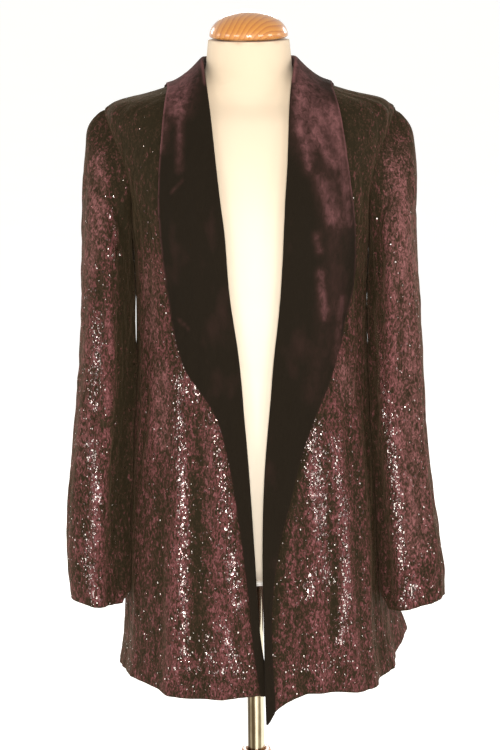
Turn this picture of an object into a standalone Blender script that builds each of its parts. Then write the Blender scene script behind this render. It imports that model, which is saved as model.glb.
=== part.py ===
"""Blazer with a shawl collar, worn by a limbless dress form on a pole and a round foot.

Metres, +Z up, floor at z = 0, the pole's axis at x = y = 0. The front faces -Y, and the
wearer's left side is at +X. The body is read as a surface of level rings: a turn of 0
degrees is the centre front, 90 the wearer's left side, 180 the centre back.
"""
import math
from collections import namedtuple

import bmesh
import bpy
from mathutils import Vector

# Cloth
CLOTH = 0.0015
SEAM = 0.0003
UNDER_COLLAR = 0.0009
COLLAR_ROLL = 0.0022
COLLAR_EDGE_LIFT = 0.0010
COLLAR_FALL_POWER = 2.2

# The left front laps over the right one near the hem
LAP_HEIGHT = 0.0036
LAP_TOP_Z = 0.690
LAP_LENGTH = 0.075
LAP_TURN = 34
LAP_FADE_TURN = 22

# Landmarks of the cut
UNDERARM_Z = 1.148
SHOULDER_Z = 1.336
NECK_SIDE_Z = 1.382
NECK_BACK_Z = 1.377
COLLAR_BACK_Z = 1.338
COLLAR_SEAM_Z = 1.3615
ARMHOLE_SCOOP = 25.0
HEM_Z = 0.566
HEM_EASE = 0.10
STAND_HEIGHT = 0.0155
FULL_STAND = 0.008
LEAST_STAND = 0.006
STAND_ROWS = 3.6
VENT_TOP_Z = 0.640
VENT_OPENING = 0.0045
VENT_TAPER = 0.035
BACK_SEAM_DRIFT = 0.012
DRIFT_TOP_Z = 1.05
DRIFT_LENGTH = 0.45

# Grid of the panels
COLLAR_COLUMNS = 4
FRONT_COLUMNS = 11
UPPER_ROWS = 10
NECK_ROWS = 6
SLEEVE_AROUND = 2 * UPPER_ROWS
HEAD_RINGS = 5

# Dress form and stand
POLE_RADIUS = 0.0118
POLE_HOLE_RADIUS = 0.0122
POLE_BOTTOM_Z = 0.3403
POLE_TOP_Z = 0.8397
SOCKET_TOP_Z = 0.840
COLUMN_TOP_Z = 0.442
COLUMN_BORE_Z = 0.340
FORM_BOTTOM_Z = 0.718
BOARD_BOTTOM_Z = 0.7115
BOARD_OVERHANG = 0.0012
FOOT_RADIUS = 0.190
FOOT_HEIGHT = 0.026
FORM_AROUND = 24

LEFT = 1
RIGHT = -1
UP = Vector((0, 0, 1))

Ring = namedtuple("Ring", "z half_width front back squareness")
BODY_RINGS = [
    Ring(0.500, 0.197, 0.146, 0.140, 2.0),
    Ring(0.565, 0.186, 0.142, 0.136, 2.0),
    Ring(0.630, 0.1765, 0.138, 0.132, 2.0),
    Ring(0.730, 0.1748, 0.131, 0.126, 2.1),
    Ring(0.813, 0.1708, 0.126, 0.120, 2.1),
    Ring(0.923, 0.1618, 0.117, 0.105, 2.1),
    Ring(1.030, 0.1540, 0.111, 0.095, 2.1),
    Ring(1.115, 0.1532, 0.119, 0.101, 2.2),
    Ring(1.190, 0.1610, 0.127, 0.111, 2.3),
    Ring(1.260, 0.1740, 0.114, 0.113, 2.3),
    Ring(1.310, 0.1860, 0.090, 0.102, 2.3),
    Ring(1.336, 0.1900, 0.077, 0.092, 2.3),
    Ring(1.352, 0.1325, 0.068, 0.083, 2.2),
    Ring(1.364, 0.0980, 0.061, 0.076, 2.1),
    Ring(1.382, 0.0600, 0.050, 0.066, 2.0),
]
FORM_RINGS = [
    Ring(0.7180, 0.1500, 0.110, 0.110, 2.1),
    Ring(0.8000, 0.1480, 0.106, 0.106, 2.1),
    Ring(0.9000, 0.1350, 0.100, 0.094, 2.1),
    Ring(1.0000, 0.1180, 0.095, 0.083, 2.1),
    Ring(1.0500, 0.1180, 0.097, 0.082, 2.1),
    Ring(1.1200, 0.1290, 0.107, 0.089, 2.2),
    Ring(1.1900, 0.1420, 0.117, 0.099, 2.2),
    Ring(1.2600, 0.1530, 0.104, 0.102, 2.2),
    Ring(1.3060, 0.1680, 0.082, 0.091, 2.2),
    Ring(1.3250, 0.1730, 0.070, 0.080, 2.2),
    Ring(1.3385, 0.1660, 0.054, 0.064, 2.2),
    Ring(1.3500, 0.1310, 0.048, 0.058, 2.1),
    Ring(1.3605, 0.0930, 0.046, 0.056, 2.1),
    Ring(1.3700, 0.0680, 0.045, 0.054, 2.0),
    Ring(1.3790, 0.0575, 0.045, 0.053, 2.0),
    Ring(1.3930, 0.0562, 0.046, 0.052, 2.0),
    Ring(1.4200, 0.0535, 0.047, 0.051, 2.0),
]

ROW_HEIGHTS = [HEM_Z, 0.600, 0.632, 0.668, 0.706, 0.745, 0.785, 0.825, 0.862, 0.895, 0.925,
               0.950, 0.972, 0.996, 1.026, 1.062, 1.104]

# Front edge and the shawl's outer edge, seen from the front
EdgeRow = namedtuple("EdgeRow", "z edge_x shawl_x")
FRONT_EDGES = {
    LEFT: [
        EdgeRow(0.520, 0.0170, 0.0300),
        EdgeRow(0.570, 0.0150, 0.0255),
        EdgeRow(0.620, 0.0140, 0.0225),
        EdgeRow(0.665, 0.0138, 0.0215),
        EdgeRow(0.710, 0.0130, 0.0235),
        EdgeRow(0.751, 0.0130, 0.0290),
        EdgeRow(0.792, 0.0135, 0.0370),
        EdgeRow(0.832, 0.0148, 0.0480),
        EdgeRow(0.873, 0.0170, 0.0580),
        EdgeRow(0.926, 0.0220, 0.0740),
        EdgeRow(0.972, 0.0265, 0.0950),
        EdgeRow(1.005, 0.0290, 0.1060),
        EdgeRow(1.071, 0.0370, 0.1240),
        EdgeRow(1.123, 0.0415, 0.1340),
        EdgeRow(1.174, 0.0440, 0.1340),
        EdgeRow(1.226, 0.0465, 0.1290),
        EdgeRow(1.289, 0.0510, 0.1210),
        EdgeRow(1.330, 0.0525, 0.1160),
        EdgeRow(COLLAR_SEAM_Z, 0.0550, 0.1040),
        EdgeRow(NECK_SIDE_Z, 0.0600, 0.0600),
    ],
    RIGHT: [
        EdgeRow(0.520, 0.0175, 0.0080),
        EdgeRow(0.571, 0.0165, 0.0060),
        EdgeRow(0.602, 0.0120, 0.0015),
        EdgeRow(0.644, 0.0050, -0.0040),
        EdgeRow(0.683, 0.0020, -0.0060),
        EdgeRow(0.729, 0.0000, -0.0105),
        EdgeRow(0.793, -0.0035, -0.0180),
        EdgeRow(0.847, -0.0065, -0.0250),
        EdgeRow(0.901, -0.0100, -0.0350),
        EdgeRow(0.941, -0.0135, -0.0450),
        EdgeRow(0.968, -0.0150, -0.0610),
        EdgeRow(0.988, -0.0165, -0.0800),
        EdgeRow(1.021, -0.0195, -0.0930),
        EdgeRow(1.060, -0.0250, -0.1020),
        EdgeRow(1.112, -0.0320, -0.1080),
        EdgeRow(1.177, -0.0350, -0.1140),
        EdgeRow(1.228, -0.0410, -0.1165),
        EdgeRow(1.292, -0.0480, -0.1130),
        EdgeRow(1.330, -0.0520, -0.1100),
        EdgeRow(COLLAR_SEAM_Z, -0.0560, -0.1040),
        EdgeRow(NECK_SIDE_Z, -0.0600, -0.0600),
    ],
}

# How far the hem hangs below its level line, by turn round the body
HemRow = namedtuple("HemRow", "turn drop")
HEM_DROPS = {
    LEFT: [HemRow(0, 0.035), HemRow(4.5, 0.034), HemRow(6, 0.026), HemRow(8, 0.015),
           HemRow(11, 0.007), HemRow(15, 0.002), HemRow(22, -0.003), HemRow(34, -0.001),
           HemRow(46, 0.006), HemRow(54, 0.007), HemRow(66, 0.004), HemRow(80, 0.003),
           HemRow(92, -0.002), HemRow(108, -0.022), HemRow(130, 0.000), HemRow(190, 0.010)],
    RIGHT: [HemRow(-190, 0.010), HemRow(-135, 0.006), HemRow(-90, -0.002), HemRow(-72, -0.005),
            HemRow(-56, -0.004), HemRow(-44, 0.000), HemRow(-34, 0.004), HemRow(-22, 0.004),
            HemRow(-9, 0.001), HemRow(-3, -0.004), HemRow(12, -0.002)],
}

# Soft vertical folds of the skirt: deepest at the hem, gone at their tops
Fold = namedtuple("Fold", "top_turn top_z hem_turn width height")
BODY_FOLDS = [
    Fold(-14, 0.90, -13, 0.021, 0.0040),
    Fold(-26, 0.93, -25, 0.019, -0.0065),
    Fold(-36, 1.00, -35, 0.022, 0.0130),
    Fold(-50, 0.98, -50, 0.020, -0.0060),
    Fold(-66, 0.95, -62, 0.024, 0.0060),
    Fold(-78, 0.80, -76, 0.019, -0.0050),
    Fold(20, 0.90, 20, 0.019, -0.0055),
    Fold(28, 0.98, 27, 0.016, 0.0040),
    Fold(41, 1.00, 42, 0.019, 0.0090),
    Fold(58, 0.98, 55, 0.020, 0.0130),
    Fold(72, 0.95, 70, 0.020, -0.0075),
    Fold(80, 0.74, 84, 0.026, 0.0100),
    Fold(106, 0.77, 108, 0.027, 0.0460),
    Fold(136, 0.95, 134, 0.024, -0.0080),
    Fold(152, 1.05, 153, 0.024, 0.0060),
    Fold(-103, 0.85, -106, 0.030, 0.0080),
    Fold(-130, 1.00, -129, 0.024, -0.0075),
    Fold(-148, 1.00, -150, 0.026, 0.0060),
]

# Sleeve sections from the armhole to the cuff: outermost and innermost points seen from the
# front, half the depth from front to back, and where the section's middle lies in depth
SleeveRow = namedtuple("SleeveRow", "outer_x outer_z inner_x inner_z half_depth middle_y")
SLEEVE_ROWS = {
    RIGHT: [
        SleeveRow(0.1900, 1.3360, 0.1564, 1.1480, 0.0560, 0.0020),
        SleeveRow(0.1985, 1.3285, 0.1566, 1.1385, 0.0590, 0.0020),
        SleeveRow(0.2065, 1.3160, 0.1562, 1.1280, 0.0610, 0.0000),
        SleeveRow(0.2130, 1.2970, 0.1558, 1.1130, 0.0630, -0.0030),
        SleeveRow(0.2175, 1.2700, 0.1555, 1.0930, 0.0645, -0.0060),
        SleeveRow(0.2200, 1.2360, 0.1555, 1.0680, 0.0650, -0.0100),
        SleeveRow(0.2212, 1.1980, 0.1558, 1.0400, 0.0645, -0.0130),
        SleeveRow(0.2228, 1.1560, 0.1560, 1.0110, 0.0635, -0.0160),
        SleeveRow(0.2241, 1.1130, 0.1565, 0.9810, 0.0620, -0.0195),
        SleeveRow(0.2252, 1.0700, 0.1582, 0.9500, 0.0600, -0.0225),
        SleeveRow(0.2272, 1.0270, 0.1606, 0.9180, 0.0580, -0.0260),
        SleeveRow(0.2300, 0.9840, 0.1634, 0.8860, 0.0560, -0.0295),
        SleeveRow(0.2342, 0.9420, 0.1660, 0.8540, 0.0540, -0.0325),
        SleeveRow(0.2387, 0.9000, 0.1684, 0.8230, 0.0520, -0.0355),
        SleeveRow(0.2440, 0.8580, 0.1700, 0.7930, 0.0500, -0.0380),
        SleeveRow(0.2483, 0.8193, 0.1710, 0.7672, 0.0485, -0.0405),
        SleeveRow(0.2503, 0.7823, 0.1720, 0.7431, 0.0470, -0.0430),
        SleeveRow(0.2510, 0.7474, 0.1732, 0.7201, 0.0455, -0.0445),
        SleeveRow(0.2507, 0.7145, 0.1752, 0.6970, 0.0440, -0.0460),
        SleeveRow(0.2480, 0.6825, 0.1770, 0.6750, 0.0430, -0.0470),
    ],
    LEFT: [
        SleeveRow(0.1900, 1.3360, 0.1564, 1.1480, 0.0560, 0.0020),
        SleeveRow(0.1957, 1.3252, 0.1566, 1.1385, 0.0590, 0.0020),
        SleeveRow(0.2055, 1.3125, 0.1566, 1.1280, 0.0610, 0.0000),
        SleeveRow(0.2142, 1.2950, 0.1566, 1.1130, 0.0630, -0.0030),
        SleeveRow(0.2186, 1.2700, 0.1568, 1.0930, 0.0640, -0.0060),
        SleeveRow(0.2184, 1.2360, 0.1572, 1.0680, 0.0640, -0.0100),
        SleeveRow(0.2165, 1.1980, 0.1566, 1.0400, 0.0635, -0.0130),
        SleeveRow(0.2185, 1.1560, 0.1565, 1.0110, 0.0625, -0.0160),
        SleeveRow(0.2208, 1.1130, 0.1562, 0.9810, 0.0610, -0.0195),
        SleeveRow(0.2232, 1.0700, 0.1566, 0.9500, 0.0595, -0.0225),
        SleeveRow(0.2255, 1.0270, 0.1572, 0.9180, 0.0575, -0.0260),
        SleeveRow(0.2278, 0.9840, 0.1594, 0.8860, 0.0560, -0.0295),
        SleeveRow(0.2290, 0.9420, 0.1625, 0.8540, 0.0545, -0.0325),
        SleeveRow(0.2318, 0.9000, 0.1660, 0.8230, 0.0530, -0.0355),
        SleeveRow(0.2360, 0.8580, 0.1685, 0.7930, 0.0510, -0.0380),
        SleeveRow(0.2410, 0.8195, 0.1705, 0.7661, 0.0490, -0.0405),
        SleeveRow(0.2465, 0.7831, 0.1728, 0.7401, 0.0475, -0.0430),
        SleeveRow(0.2520, 0.7488, 0.1750, 0.7151, 0.0460, -0.0445),
        SleeveRow(0.2557, 0.7164, 0.1775, 0.6880, 0.0445, -0.0460),
        SleeveRow(0.2570, 0.6840, 0.1805, 0.6620, 0.0430, -0.0470),
    ],
}

# Folds of a sleeve: where round it (0 outside, 90 front, 180 inside, 270 back), from and to
# which share of its length, how wide in degrees and how high
SleeveFold = namedtuple("SleeveFold", "turn low_turn start end width height")
SLEEVE_FOLDS = {
    RIGHT: [
        SleeveFold(104, 96, 0.18, 1.02, 17, 0.0045),
        SleeveFold(140, 134, 0.22, 1.02, 17, -0.0060),
        SleeveFold(62, 58, 0.30, 1.02, 18, -0.0045),
        SleeveFold(28, 30, 0.45, 0.92, 18, 0.0030),
        SleeveFold(262, 258, 0.20, 1.02, 20, 0.0050),
        SleeveFold(226, 228, 0.25, 1.02, 20, -0.0055),
        SleeveFold(304, 300, 0.35, 1.02, 18, -0.0040),
    ],
    LEFT: [
        SleeveFold(118, 124, 0.18, 1.02, 18, 0.0045),
        SleeveFold(150, 158, 0.22, 0.98, 16, -0.0050),
        SleeveFold(82, 88, 0.26, 1.02, 18, -0.0050),
        SleeveFold(48, 52, 0.35, 1.02, 18, 0.0040),
        SleeveFold(255, 262, 0.20, 1.02, 20, 0.0050),
        SleeveFold(222, 226, 0.30, 1.02, 18, -0.0050),
        SleeveFold(300, 302, 0.30, 1.02, 20, -0.0045),
    ],
}

# Turned profiles, radius and height
CAP_PROFILE = [(0.0440, 1.4203), (0.0485, 1.4228), (0.0510, 1.4275), (0.0512, 1.4335),
               (0.0497, 1.4395), (0.0455, 1.4452), (0.0370, 1.4503), (0.0210, 1.4535)]
COLUMN_PROFILE = [(0.0420, 0.0263), (0.0440, 0.0340), (0.0420, 0.0430), (0.0310, 0.0520),
                  (0.0270, 0.0700), (0.0245, 0.1100), (0.0230, 0.2200), (0.0215, 0.3900),
                  (0.0225, 0.4200), (0.0222, 0.4360), (0.0195, COLUMN_TOP_Z)]
FOOT_PROFILE = [(0.1860, 0.0), (FOOT_RADIUS, 0.0040), (FOOT_RADIUS, 0.0160),
                (0.1860, 0.0215), (0.1760, FOOT_HEIGHT)]

Finish = namedtuple("Finish", "colour roughness metallic")
FINISHES = {
    "burnout": Finish((0.065, 0.020, 0.028), 0.55, 0.0),
    "velvet": Finish((0.035, 0.014, 0.018), 0.80, 0.0),
    "jersey": Finish((0.95, 0.88, 0.76), 0.85, 0.0),
    "board": Finish((0.95, 0.93, 0.88), 0.60, 0.0),
    "wood": Finish((0.62, 0.29, 0.09), 0.30, 0.0),
    "chrome": Finish((0.85, 0.84, 0.82), 0.12, 1.0),
}


def smoothstep(value):
    """0 below 0, 1 above 1, and an even S between."""
    value = min(max(value, 0.0), 1.0)
    return value * value * (3 - 2 * value)


def smooth_curve(stations, values):
    """A function that runs smoothly through the values without overshooting them."""
    steps = [(values[i + 1] - values[i]) / (stations[i + 1] - stations[i])
             for i in range(len(stations) - 1)]
    slopes = [steps[0]]
    for before, after in zip(steps, steps[1:]):
        slopes.append(2 * before * after / (before + after) if before * after > 0 else 0.0)
    slopes.append(steps[-1])

    def value_at(station):
        station = min(max(station, stations[0]), stations[-1])
        i = max(k for k in range(len(steps)) if stations[k] <= station)
        width = stations[i + 1] - stations[i]
        t = (station - stations[i]) / width
        rise = (1 + 2 * t) * (1 - t) ** 2 * values[i] + t * t * (3 - 2 * t) * values[i + 1]
        lean = t * (1 - t) ** 2 * slopes[i] - t * t * (1 - t) * slopes[i + 1]
        return rise + lean * width

    return value_at


def table_curve(rows, along, column):
    """One column of a table as a smooth function of another."""
    return smooth_curve([getattr(row, along) for row in rows],
                        [getattr(row, column) for row in rows])


class RingSurface:
    """A closed surface read from a table of level rings."""

    def __init__(self, rings):
        self.half_width = table_curve(rings, "z", "half_width")
        self.front = table_curve(rings, "z", "front")
        self.back = table_curve(rings, "z", "back")
        self.squareness = table_curve(rings, "z", "squareness")

    def point(self, turn, z):
        side = math.sin(math.radians(turn))
        ahead = math.cos(math.radians(turn))
        power = 2 / self.squareness(z)
        depth = self.front(z) if ahead > 0 else self.back(z)
        x = self.half_width(z) * math.copysign(abs(side) ** power, side)
        y = -depth * math.copysign(abs(ahead) ** power, ahead)
        return Vector((x, y, z))

    def turn_at(self, x, z):
        """Turn on the front half where the surface has this x."""
        share = min(abs(x) / self.half_width(z), 1.0)
        turn = math.degrees(math.asin(share ** (self.squareness(z) / 2)))
        return math.copysign(turn, x)

    def half_width_at(self, y, z):
        """Half the surface's width where it has this depth."""
        depth = self.front(z) if y < 0 else self.back(z)
        power = self.squareness(z)
        share = max(0.0, 1 - min(abs(y) / depth, 1.0) ** power)
        return self.half_width(z) * share ** (1 / power)

    def along_girth(self, turn, z):
        step = 1.0
        return (self.point(turn + step, z) - self.point(turn - step, z)).normalized()

    def normal(self, turn, z):
        step = 0.001
        rise = self.point(turn, z + step) - self.point(turn, z - step)
        return self.along_girth(turn, z).cross(rise).normalized()


BODY = RingSurface(BODY_RINGS)
FORM = RingSurface(FORM_RINGS)


def fold_height(turn, z):
    """How far the skirt's folds push the cloth out at a place."""
    girth_radius = 0.5 * (BODY.half_width(z) + BODY.front(z))
    height = 0.0
    for fold in BODY_FOLDS:
        growth = (fold.top_z - z) / (fold.top_z - HEM_Z)
        centre = fold.top_turn + (fold.hem_turn - fold.top_turn) * min(max(growth, 0), 1)
        away = math.radians(turn - centre) * girth_radius
        height += fold.height * smoothstep(growth) * math.exp(-(away / fold.width) ** 2)
    return height


def lap_height(side, turn, z):
    """The left front laps over the right one near the hem."""
    near_hem = smoothstep((LAP_TOP_Z - z) / LAP_LENGTH)
    near_edge = smoothstep((LAP_TURN - abs(turn)) / LAP_FADE_TURN)
    return side * LAP_HEIGHT * near_hem * near_edge


def cloth_point(side, turn, z):
    """Point on the garment's outer face."""
    out = fold_height(turn, z) + lap_height(side, turn, z)
    return BODY.point(turn, z) + BODY.normal(turn, z) * out


def even_steps(path, start, end, count):
    """Split a path of (turn, z) between two stations into steps of equal length."""
    fine = 200
    stations = [start + (end - start) * k / fine for k in range(fine + 1)]
    points = [BODY.point(*path(station)) for station in stations]
    lengths = [0.0]
    for before, after in zip(points, points[1:]):
        lengths.append(lengths[-1] + (after - before).length)
    places = []
    for k in range(count + 1):
        wanted = lengths[-1] * k / count
        nearest = min(range(fine + 1), key=lambda i: abs(lengths[i] - wanted))
        places.append(path(stations[nearest]))
    return places


def armhole_place(side, turn_round):
    """Turn and height on the body where the armhole runs: 0 its top, 90 its front."""
    round_angle = math.radians(turn_round)
    from_top = 1 - abs(1 - (turn_round % 360) / 180)
    fall = (from_top + (1 - math.cos(round_angle)) / 2) / 2
    z = SHOULDER_Z + (UNDERARM_Z - SHOULDER_Z) * fall
    wave = math.sin(round_angle)
    scoop = ARMHOLE_SCOOP * math.copysign(abs(wave) ** 1.2, wave)
    return side * (90 - scoop), z


def armhole_edge(side, turn_round):
    """Armhole point on the cloth, its normal, and the way off the panel there."""
    place = armhole_place(side, turn_round)
    before = cloth_point(side, *armhole_place(side, turn_round - 1))
    after = cloth_point(side, *armhole_place(side, turn_round + 1))
    normal = BODY.normal(*place)
    away = normal.cross(after - before).normalized() * side
    return cloth_point(side, *place), normal, away


def hem_place(side, turn, row_z):
    """Height of a grid point of a lower row, which eases from the hem line to level rows."""
    drop = table_curve(HEM_DROPS[side], "turn", "drop")(turn)
    near_hem = max(0.0, 1 - (row_z - HEM_Z) / HEM_EASE)
    return row_z - drop * near_hem


def row_between(start, end, count, with_end):
    """Places evenly between two (turn, z) places."""
    last = count + 1 if with_end else count
    return [tuple(a + (b - a) * k / count for a, b in zip(start, end)) for k in range(last)]


def edge_path(side, column):
    """Path of (turn, z) along the front edge or along the shawl's outer edge."""
    x_at = table_curve(FRONT_EDGES[side], "z", column)
    return lambda z: (BODY.turn_at(x_at(z), z), z)


def front_places(side):
    """Grid of (turn, z) of a front, a row at a time from the hem to the shoulder seam."""
    edge = edge_path(side, "edge_x")
    shawl = edge_path(side, "shawl_x")
    rows = []
    for row_z in ROW_HEIGHTS:
        side_place = (side * 90, row_z)
        row = row_between(edge(row_z), shawl(row_z), COLLAR_COLUMNS, False)
        row += row_between(shawl(row_z), side_place, FRONT_COLUMNS, True)
        rows.append([(turn, hem_place(side, turn, z)) for turn, z in row])
    edge_steps = even_steps(edge, UNDERARM_Z, NECK_SIDE_Z, UPPER_ROWS)
    shawl_steps = even_steps(shawl, UNDERARM_Z, COLLAR_SEAM_Z, UPPER_ROWS)
    for k in range(UPPER_ROWS + 1):
        arm = armhole_place(side, 180 - 180 * k / UPPER_ROWS)
        row = row_between(edge_steps[k], shawl_steps[k], COLLAR_COLUMNS, False)
        rows.append(row + row_between(shawl_steps[k], arm, FRONT_COLUMNS, True))
    rows[-1] = shoulder_places(side)
    return rows


def shoulder_places(side):
    """Places along the shoulder seam, which fronts and backs share."""
    ridge = side * 90
    places = row_between((ridge, NECK_SIDE_Z), (ridge, COLLAR_SEAM_Z), COLLAR_COLUMNS, False)
    return places + row_between((ridge, COLLAR_SEAM_Z), (ridge, SHOULDER_Z),
                                FRONT_COLUMNS, True)


def back_seam_turn(z):
    """The centre-back seam hangs a little to the wearer's left at the hem."""
    drift = BACK_SEAM_DRIFT * smoothstep((DRIFT_TOP_Z - z) / DRIFT_LENGTH)
    return 180 - math.degrees(drift / BODY.half_width(z))


def back_edge_path(side):
    """Centre-back seam up to the neck, then round the neck: stations 0 to 1 and 1 to 2."""

    def place(station):
        if station <= 1:
            z = UNDERARM_Z + (NECK_BACK_Z - UNDERARM_Z) * station
            turn = back_seam_turn(z)
        else:
            z = NECK_BACK_Z + (NECK_SIDE_Z - NECK_BACK_Z) * (station - 1)
            turn = 180 - 90 * (station - 1)
        return (turn if side == LEFT else turn - 360 if station <= 1 else -turn, z)

    return place


def back_places(side):
    """Grid of (turn, z) of a back half, from the centre-back seam to the side."""
    columns = COLLAR_COLUMNS + FRONT_COLUMNS
    rows = []
    for row_z in ROW_HEIGHTS:
        middle = back_seam_turn(row_z) - (0 if side == LEFT else 360)
        row = row_between((middle, row_z), (side * 90, row_z), columns, True)
        rows.append([(turn, hem_place(side, turn, z)) for turn, z in row])
    edge_steps = even_steps(back_edge_path(side), 0, 2, UPPER_ROWS)
    for k in range(UPPER_ROWS + 1):
        arm = armhole_place(side, 180 + 180 * k / UPPER_ROWS)
        rows.append(row_between(edge_steps[k], arm, columns, True))
    rows[-1] = shoulder_places(side)
    return rows


def panel_faces(side, rows, is_back):
    """Outer and inner points of a panel, pulled back by half a seam where it is sewn."""
    outer = []
    inner = []
    last_row = len(rows) - 1
    for j, row in enumerate(rows):
        outer.append([])
        inner.append([])
        for i, (turn, z) in enumerate(row):
            point = cloth_point(side, turn, z)
            girth = BODY.along_girth(turn, z)
            if j == last_row or (i == len(row) - 1 and j <= len(ROW_HEIGHTS)):
                point += girth * (SEAM if is_back else -SEAM) * side / 2
            if is_back and i == 0 and abs(abs(turn) - 180) < 20:
                opening = VENT_OPENING * smoothstep((VENT_TOP_Z - z) / VENT_TAPER)
                point -= girth * side * (SEAM + opening) / 2
            outer[-1].append(point)
            inner[-1].append(point - BODY.normal(turn, z) * CLOTH)
    return outer, inner


def solid_from_walls(name, outer, inner, finish, closed_round=False):
    """One closed solid between two grids of points, sewn together round their edges."""
    rows = len(outer)
    columns = len(outer[0])
    mesh = bmesh.new()
    front = [[mesh.verts.new(point) for point in row] for row in outer]
    rear = [[mesh.verts.new(point) for point in row] for row in inner]
    steps = columns if closed_round else columns - 1
    for j in range(rows - 1):
        for i in range(steps):
            k = (i + 1) % columns
            mesh.faces.new((front[j][i], front[j][k], front[j + 1][k], front[j + 1][i]))
            mesh.faces.new((rear[j][i], rear[j + 1][i], rear[j + 1][k], rear[j][k]))
    for i in range(steps):
        k = (i + 1) % columns
        mesh.faces.new((front[0][k], front[0][i], rear[0][i], rear[0][k]))
        mesh.faces.new((front[-1][i], front[-1][k], rear[-1][k], rear[-1][i]))
    if not closed_round:
        for j in range(rows - 1):
            mesh.faces.new((front[j][0], front[j + 1][0], rear[j + 1][0], rear[j][0]))
            mesh.faces.new((front[j + 1][-1], front[j][-1], rear[j][-1], rear[j + 1][-1]))
    return finish_object(name, mesh, finish)


def finish_object(name, mesh, finish):
    """Turn a bmesh into a named object with its material, its faces pointing out."""
    if mesh.calc_volume(signed=True) < 0:
        bmesh.ops.reverse_faces(mesh, faces=mesh.faces[:])
    data = bpy.data.meshes.new(name)
    mesh.to_mesh(data)
    mesh.free()
    data.shade_smooth()
    data.set_sharp_from_angle(angle=math.radians(50))
    data.materials.append(material(name, finish))
    part = bpy.data.objects.new(name, data)
    bpy.context.collection.objects.link(part)
    return part


def material(name, finish):
    """The piece's own material."""
    look = FINISHES[finish]
    cloth = bpy.data.materials.new(name)
    cloth.use_nodes = True
    shader = cloth.node_tree.nodes["Principled BSDF"]
    shader.inputs["Base Color"].default_value = (*look.colour, 1.0)
    shader.inputs["Roughness"].default_value = look.roughness
    shader.inputs["Metallic"].default_value = look.metallic
    return cloth


def make_fronts():
    for side, name in ((LEFT, "front_left"), (RIGHT, "front_right")):
        outer, inner = panel_faces(side, front_places(side), False)
        solid_from_walls(name, outer, inner, "burnout")


def make_backs():
    for side, name in ((LEFT, "back_left"), (RIGHT, "back_right")):
        outer, inner = panel_faces(side, back_places(side), True)
        solid_from_walls(name, outer, inner, "burnout")


def neck_wrap(point, outward, up, height, wall):
    """Stand and fold at the neck: bottom, under the fold, fold and start of the fall."""
    skin = CLOTH if wall else 0.0
    stand = point - outward * (skin + SEAM)
    return [
        stand + up * (SEAM + 0.0002),
        stand + up * (height - COLLAR_ROLL),
        point + outward * COLLAR_ROLL / 2 + up * (height + skin - CLOTH / 2),
        point + outward * (COLLAR_ROLL + skin * 0.7) + up * (height + (skin - CLOTH) * 0.9),
    ]


def edge_wrap(point, into, normal, wall):
    """Turned front edge: beside the front's edge, round it and onto its face."""
    skin = CLOTH if wall else 0.0
    off = UNDER_COLLAR + skin
    return [
        point - into * off - normal * CLOTH,
        point - into * off - normal * CLOTH * 0.3,
        point - into * off * 0.8 + normal * off * 0.6,
        point - into * SEAM + normal * off,
    ]


def shawl_station(side, places, tangent, stand, wall):
    """Points across the shawl at one station: wrap of the edge, then the fall outwards."""
    turn, z = places[0]
    edge = cloth_point(side, turn, z)
    normal = BODY.normal(turn, z)
    across_edge = tangent.cross(normal).normalized()
    into = cloth_point(side, *places[1]) - edge
    into = across_edge * math.copysign(1.0, into.dot(across_edge))
    up = (UP - tangent * UP.dot(tangent)).normalized()
    outward = up.cross(tangent)
    outward *= math.copysign(1.0, into.dot(outward))
    share = smoothstep(stand / FULL_STAND)
    flat = edge_wrap(edge, into, normal, wall)
    stood = neck_wrap(edge, outward, up, max(stand, LEAST_STAND), wall)
    line = [a.lerp(b, share) for a, b in zip(flat, stood)]
    for k, (turn, z) in enumerate(places[1:], start=1):
        across = k / (len(places) - 1)
        lift = UNDER_COLLAR + (CLOTH if wall else 0.0)
        lift += COLLAR_EDGE_LIFT * across ** 2
        rise = stand * (1 - across) ** COLLAR_FALL_POWER
        line.append(cloth_point(side, turn, z) + BODY.normal(turn, z) * lift + up * rise)
    return line


def shawl_stations(side):
    """Places across the shawl and its stand height, from the centre back to the hem."""
    stations = []
    for k in range(NECK_ROWS):
        share = k / NECK_ROWS
        edge = (side * (180 - 90 * share), NECK_BACK_Z + (NECK_SIDE_Z - NECK_BACK_Z) * share)
        outer = (side * (180 - 90 * share ** 0.9),
                 COLLAR_BACK_Z + (COLLAR_SEAM_Z - COLLAR_BACK_Z) * share ** 1.6)
        stations.append((row_between(edge, outer, COLLAR_COLUMNS, True), STAND_HEIGHT))
    rows = front_places(side)
    down = 0
    for row in reversed(rows):
        stand = STAND_HEIGHT * (1 - smoothstep(down / STAND_ROWS))
        stations.append((row[:COLLAR_COLUMNS + 1], stand))
        down += 1
    return stations


def path_tangents(points):
    """Unit direction of a path at each of its points."""
    last = len(points) - 1
    return [(points[min(k + 1, last)] - points[max(k - 1, 0)]).normalized()
            for k in range(last + 1)]


def make_shawls():
    for side, name in ((LEFT, "shawl_left"), (RIGHT, "shawl_right")):
        walls = []
        stations = shawl_stations(side)
        tangents = path_tangents([cloth_point(side, *places[0]) for places, _ in stations])
        tangents[0] = Vector((side, 0, 0))
        for wall in (True, False):
            lines = [shawl_station(side, places, tangent, stand, wall)
                     for (places, stand), tangent in zip(stations, tangents)]
            lines[0] = [point + Vector((side * SEAM / 2, 0, 0)) for point in lines[0]]
            walls.append(lines)
        solid_from_walls(name, walls[0], walls[1], "velvet")


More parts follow.
